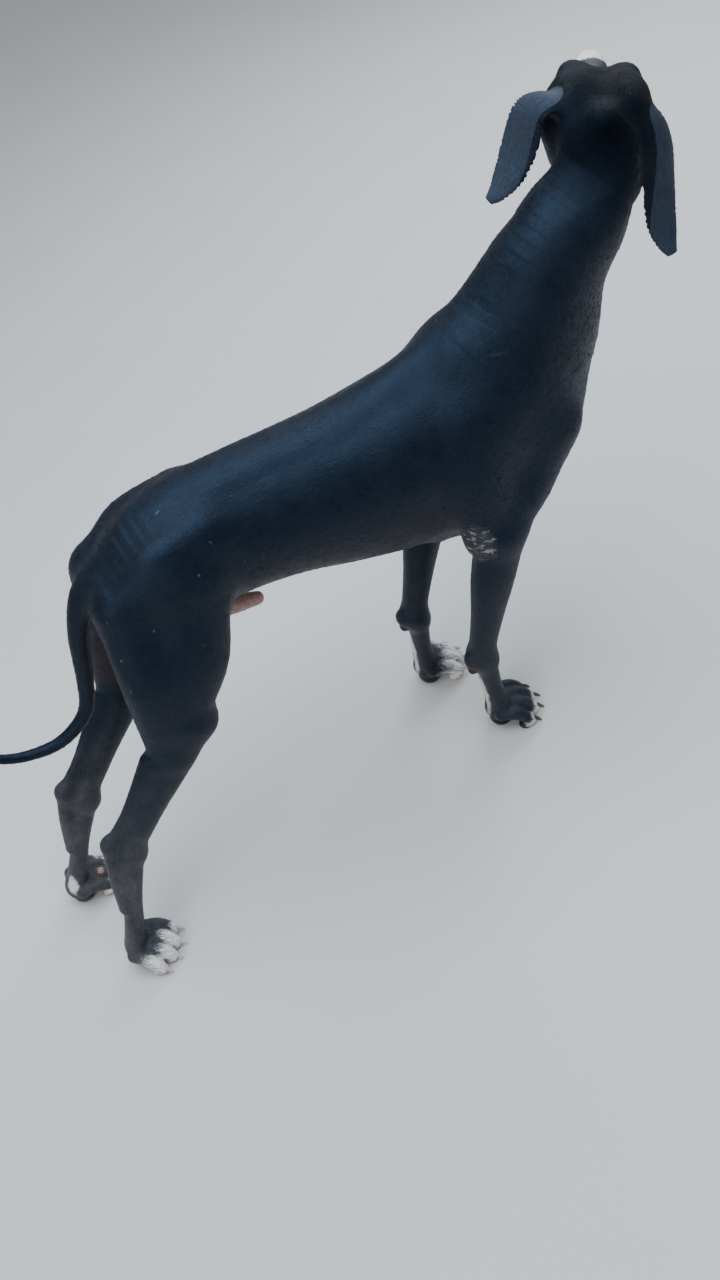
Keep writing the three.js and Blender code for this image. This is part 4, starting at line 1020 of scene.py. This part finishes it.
def depth_at(points):
    """The pads are bare and the ears thin, so there the skin comes out towards the solids."""
    away = ramp(from_ears(points), 20, 80)
    return COAT_DEPTH * ramp(points[:, 2], 3, 16) * away + EAR_DEPTH * (1 - away)


def cell_size(points):
    """Fine cells on the face, ears and paws, and twice as wide elsewhere."""
    face = np.linalg.norm(points - HEAD.at(150, 0, -80), axis=1) < 150
    return np.where(face | (from_ears(points) < 50) | (points[:, 2] < 78), 1, 2)


points, quads = surface(BODY, cell_size, depth_at)
points, normals = settle(BODY, points, depth_at, CELL)
same = quads == np.roll(quads, -1, 1)
corners, sizes = quads[~same], 4 - same.sum(1)
points[:, 2] = np.maximum(points[:, 2], 0)
skin = make("skin", points, corners, sizes, hide("short_coat", False))
chart, straight, unwrap, way = lay_out(points)
marks = markings(points, normals, chart)
for name, values in marks.items():
    give(skin, name, values)
give_places(skin, points, straight)
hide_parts(*[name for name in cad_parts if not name.startswith("eye")])

# The coat: short tufts over the whole skin, in the lie of the hair

COATS = {
    "coat_trunk": ("trunk",),
    "coat_neck": ("neck", "tail"),
    "coat_head": ("head", "left_ear", "right_ear"),
    "coat_forelegs": ("left_foreleg", "right_foreleg"),
    "coat_hindlegs": ("left_hindleg", "right_hindleg"),
}
DENSER = 2.2              # times as many tufts on the head and ears
DROOP = vec(0, 0, -0.35)  # the hair of the trunk and neck also hangs a little
STRAY = 0.10              # how far each tuft's direction strays, as a share of its length
LENGTHS = (0.7, 1.3)      # of the chart's hair
SHORTEST = 0.45           # and on the feet
WIDTHS = (0.05, 0.08)     # of the tuft's own length
LEAST_WIDTH = 0.2         # is added to it
LIFTS = (0.05, 0.45)      # of the tuft's middle above the skin
BEND = 0.35               # sideways, at the tip

hair = hide("tuft_coat", True)
starts = np.concatenate([[0], np.cumsum(sizes)[:-1]])
first, second, third = (corners[starts + k] for k in range(3))
area = np.linalg.norm(np.cross(points[third] - points[first], points[second] - points[first]), axis=1)
bare = np.maximum.reduce([marks[key] for key in ("leather", "rim", "lip", "pad")])[first]
fine = np.isin(chart, numbers(*COATS["coat_head"]))[first]
chance = area * (bare < 0.3) * np.where(fine, DENSER, 1)
face = RANDOM.choice(len(sizes), TUFTS, p=chance / chance.sum())
index = first[face]
root = mix(points[index], points[third[face]], RANDOM.uniform(0.15, 0.85, (TUFTS, 1)))
normal = normals[index]
lie = way[index] + DROOP * np.isin(chart[index], numbers("trunk", "neck"))[:, None]
lie = lie / np.linalg.norm(lie, axis=1, keepdims=True) + RANDOM.normal(0, STRAY, (TUFTS, 3))
lie -= normal * (lie * normal).sum(1, keepdims=True)
lie /= np.linalg.norm(lie, axis=1, keepdims=True) + 1e-9
length = np.array([c.hair for c in CHARTS])[chart[index]] * RANDOM.uniform(*LENGTHS, TUFTS)
length *= SHORTEST + (1 - SHORTEST) * ramp(points[index][:, 2], 60, 160)
width = length * RANDOM.uniform(*WIDTHS, TUFTS) + LEAST_WIDTH
lift = RANDOM.uniform(*LIFTS, TUFTS)
bend = RANDOM.normal(0, BEND, TUFTS)
for name, members in COATS.items():
    here = np.flatnonzero(np.isin(chart[index], numbers(*members)))[:MOST_TUFTS]
    columns = root, normal, lie, length, width, lift, bend
    tuft_points, tuft_faces = spikes(*[column[here] for column in columns])
    of_root = np.repeat(index[here], BLADE_POINTS)
    coat = make(name, tuft_points, tuft_faces, 3, hair, normals[of_root])
    for key, values in marks.items():
        give(coat, key, values[of_root])
    give_places(coat, points[of_root], straight[of_root])
    layer = coat.data.uv_layers.new(name="OFBake")
    spots = unwrap[of_root] + np.tile(BLADE_PATCH * PATCH_SIZE, (len(here), 1))
    layer.uv.foreach_set("vector", spots[tuft_faces.ravel()].astype(np.float32).ravel())


# Eyes, claws and whiskers

def turned(axes, rings, sides=28):
    """A solid of revolution about an axis: rings of (ahead, radius), closed at both ends by a point."""
    turn = np.arange(sides) * math.tau / sides
    points = [axes.at(rings[0][0], 0, 0)]
    for a, r in rings[1:-1]:
        points += [axes.at(a, r * math.cos(t), r * math.sin(t)) for t in turn]
    points.append(axes.at(rings[-1][0], 0, 0))
    return np.array(points), sweep(len(rings) - 2, sides)


def sweep(rings, sides):
    """Faces of a tube of rings between two end points."""
    faces = []
    last = 1 + rings * sides
    for j in range(sides):
        k = (j + 1) % sides
        faces.append([0, 1 + k, 1 + j])
        for i in range(rings - 1):
            a = 1 + i * sides
            faces += [[a + j, a + k, a + k + sides], [a + j, a + k + sides, a + j + sides]]
        faces.append([1 + (rings - 1) * sides + j, 1 + (rings - 1) * sides + k, last])
    return np.array(faces)


def tapered(line, wides, highs, side, sides=10):
    """A closed, tapered tube along a line, with its last point as the tip."""
    points = [line[0]]
    for i in range(len(line) - 1):
        way = unit(line[i + 1] - line[max(i - 1, 0)])
        s = unit(side - way * (side @ way))
        u = np.cross(way, s)
        for j in range(sides):
            t = j * math.tau / sides
            points.append(line[i] + s * wides[i] * math.cos(t) + u * highs[i] * math.sin(t))
    points.append(line[-1])
    return np.array(points), sweep(len(line) - 1, sides)


def gather(parts):
    """Joins (points, faces) pairs."""
    points, faces, count = [], [], 0
    for p, f in parts:
        points.append(p)
        faces.append(f + count)
        count += len(p)
    return np.concatenate(points), np.concatenate(faces)


# degrees from the middle of the eye, from its back to its front
EYE_RINGS = [180, *range(160, 60, -20), *range(60, 38, -6), *range(38, 0, -3), 0]
EYE_GAP = 0.3             # the eyeball lies this far inside its solid
CORNEA_RISE = 0.075       # of the radius, in the middle of the cornea
CORNEA_EDGE = 34          # in degrees
CORNEA_FALL = 2.6         # brings the rise to nothing at that edge

gloss = eyeball_material()
for name, s in zip(("left", "right"), SIDES):
    axes = eye_axes(s)
    rings = []
    for degrees in EYE_RINGS:
        turn = math.radians(degrees)
        rise = CORNEA_RISE * math.cos(CORNEA_FALL * turn) if degrees < CORNEA_EDGE else 0
        radius = (EYE_RADIUS - EYE_GAP) * (1 + rise)
        rings.append((radius * math.cos(turn), radius * math.sin(turn)))
    eye_points, eye_faces = turned(axes, rings)
    piece = make(f"eyeball_{name}", eye_points, eye_faces, 3, gloss)
    rel = (eye_points - axes.origin) / np.linalg.norm(eye_points - axes.origin, axis=1, keepdims=True)
    turn = np.arctan2(rel @ axes.u, rel @ axes.l)
    give(piece, "angle", np.degrees(np.arccos((rel @ axes.f).clip(-1, 1))))
    give(piece, "straight", np.stack([np.cos(turn), np.sin(turn), rel @ axes.f], 1), "FLOAT_VECTOR")
    give_places(piece, eye_points)
    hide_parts(f"eye_{name}")

# ahead along the toe, height, half width and half height
CLAW = [(14, 22, 4, 5), (20, 20.8, 5, 6), (25, 19, 4.9, 6), (29, 16.6, 4.3, 5.4),
        (33, 13.2, 3.4, 4.4), (36.4, 9.4, 2.3, 3.1), (38.6, 6.2, 1.2, 1.7), (39.4, 4.6, 0, 0)]
CLAW_SIDES = 14
CLAW_START = 45           # ahead of the middle of a paw of full size
CLAW_LENGTH = 40

pale_horn = horn("pale_horn", (0.50, 0.40, 0.33), (0.60, 0.54, 0.46))
dark_horn = horn("dark_horn", (0.03, 0.024, 0.02), (0.10, 0.075, 0.055))
for name, paw in PAWS.items():
    claws = [tapered(*zip(*paw.lay(toe, CLAW)), paw.axes.l, CLAW_SIDES) for toe in TOES]
    claw_points, claw_faces = gather(claws)
    material = dark_horn if name == "fore_right" else pale_horn
    piece = make(f"claws_{name}", claw_points, claw_faces, 3, material)
    reach = (claw_points - paw.axes.origin) @ paw.axes.f / paw.size
    give(piece, "along", np.clip((reach - CLAW_START) / CLAW_LENGTH, 0, 1))
    give_places(piece, claw_points, claw_points)

WHISKERS = (4, 5)         # rows on each side, and whiskers in a row
WHISKER_WIDTHS = (0.42, 0.36, 0.27, 0.15, 0)
WHISKER_SIDES = 5
WHISKER_ROOT = 1.5        # they start this far inside the skin
SAG = 0.18                # of a whisker's length, at its tip

hairs = []
for s in SIDES:
    for row, k in np.ndindex(WHISKERS):
        ahead = 178 + 15 * k + RANDOM.uniform(-3, 3)
        start = HEAD.at(ahead, s * 34, -92 - 9 * row + RANDOM.uniform(-2, 2))
        (start,), (outward,) = settle(BODY, start[None], depth_at, 20)
        reach = RANDOM.uniform(16, 30)
        way = unit(outward + HEAD.f * -0.5 + HEAD.u * -0.25)
        line = [start - outward * WHISKER_ROOT]
        line += [start + way * reach * t - HEAD.u * reach * SAG * t * t for t in (0.25, 0.5, 0.75, 1)]
        hairs.append(tapered(line, WHISKER_WIDTHS, WHISKER_WIDTHS, HEAD.u, WHISKER_SIDES))
whisker_points, whisker_faces = gather(hairs)
whiskers = make("whiskers", whisker_points, whisker_faces, 3, bristle())
give_places(whiskers, whisker_points)

# Floor, light and camera, in metres

FLOOR = 30                # half its width
FLOOR_CORNERS = [(-FLOOR, -FLOOR, 0), (FLOOR, -FLOOR, 0), (FLOOR, FLOOR, 0), (-FLOOR, FLOOR, 0)]
floor = bpy.data.objects.new("floor", bpy.data.meshes.new("floor"))
floor.data.from_pydata(FLOOR_CORNERS, [], [(0, 1, 2, 3)])
floor.data.materials.append(floor_material())
bpy.context.scene.collection.objects.link(floor)
floor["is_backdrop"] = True

LIGHTS = [
    # place, target, size, watts, colour
    ((0.0, 0.0, 3.6), (0, 0, 0.5), 3.2, 165, (0.72, 0.84, 1.0)),
    ((2.6, 2.2, 2.6), (0.3, 0, 0.6), 2.0, 70, (0.95, 0.97, 1.0)),
    ((-2.8, -2.4, 2.2), (-0.2, 0, 0.4), 2.2, 50, (1.0, 0.95, 0.9)),
]
for i, (place, target, size, watts, colour) in enumerate(LIGHTS):
    data = bpy.data.lights.new(f"softbox_{i}", "AREA")
    data.size, data.energy, data.color = size, watts, colour
    light = bpy.data.objects.new(f"softbox_{i}", data)
    light.location = place
    light.rotation_euler = (Vector(target) - Vector(place)).to_track_quat("-Z", "Y").to_euler()
    bpy.context.scene.collection.objects.link(light)

SKY = (0.80, 0.86, 0.95, 1)
SKY_STRENGTH = 0.5
world = bpy.data.worlds.new("studio")
world.use_nodes = True
sky = world.node_tree.nodes["Background"].inputs
sky["Color"].default_value = SKY
sky["Strength"].default_value = SKY_STRENGTH
bpy.context.scene.world = world

# The photograph's camera: its place and axes beside the skeleton, and its lens in the photograph's pixels

VIEWPOINT = np.array([0.398, -1.342, 1.728])
RIGHT = np.array([0.852, -0.450, -0.267])
ABOVE = np.array([0.506, 0.577, 0.641])
LENS = 1100
TALL = 1280
SENSOR = 24.0             # in millimetres
data = bpy.data.cameras.new("camera")
data.sensor_fit = "VERTICAL"
data.sensor_height = SENSOR
data.lens = LENS / TALL * SENSOR
data.clip_start, data.clip_end = 0.05, 100
camera = bpy.data.objects.new("camera", data)
right = unit(RIGHT)
back = unit(np.cross(right, ABOVE))
turn = Matrix(np.stack([right, np.cross(back, right), back], 1).tolist())
camera.matrix_world = Matrix.Translation(VIEWPOINT + SHIFT) @ turn.to_4x4()
bpy.context.scene.collection.objects.link(camera)
bpy.context.scene.camera = camera

boxes = {"cad": CAD_BOX, "visual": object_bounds()}
{key: [list(corner) for corner in box] for key, box in boxes.items()}
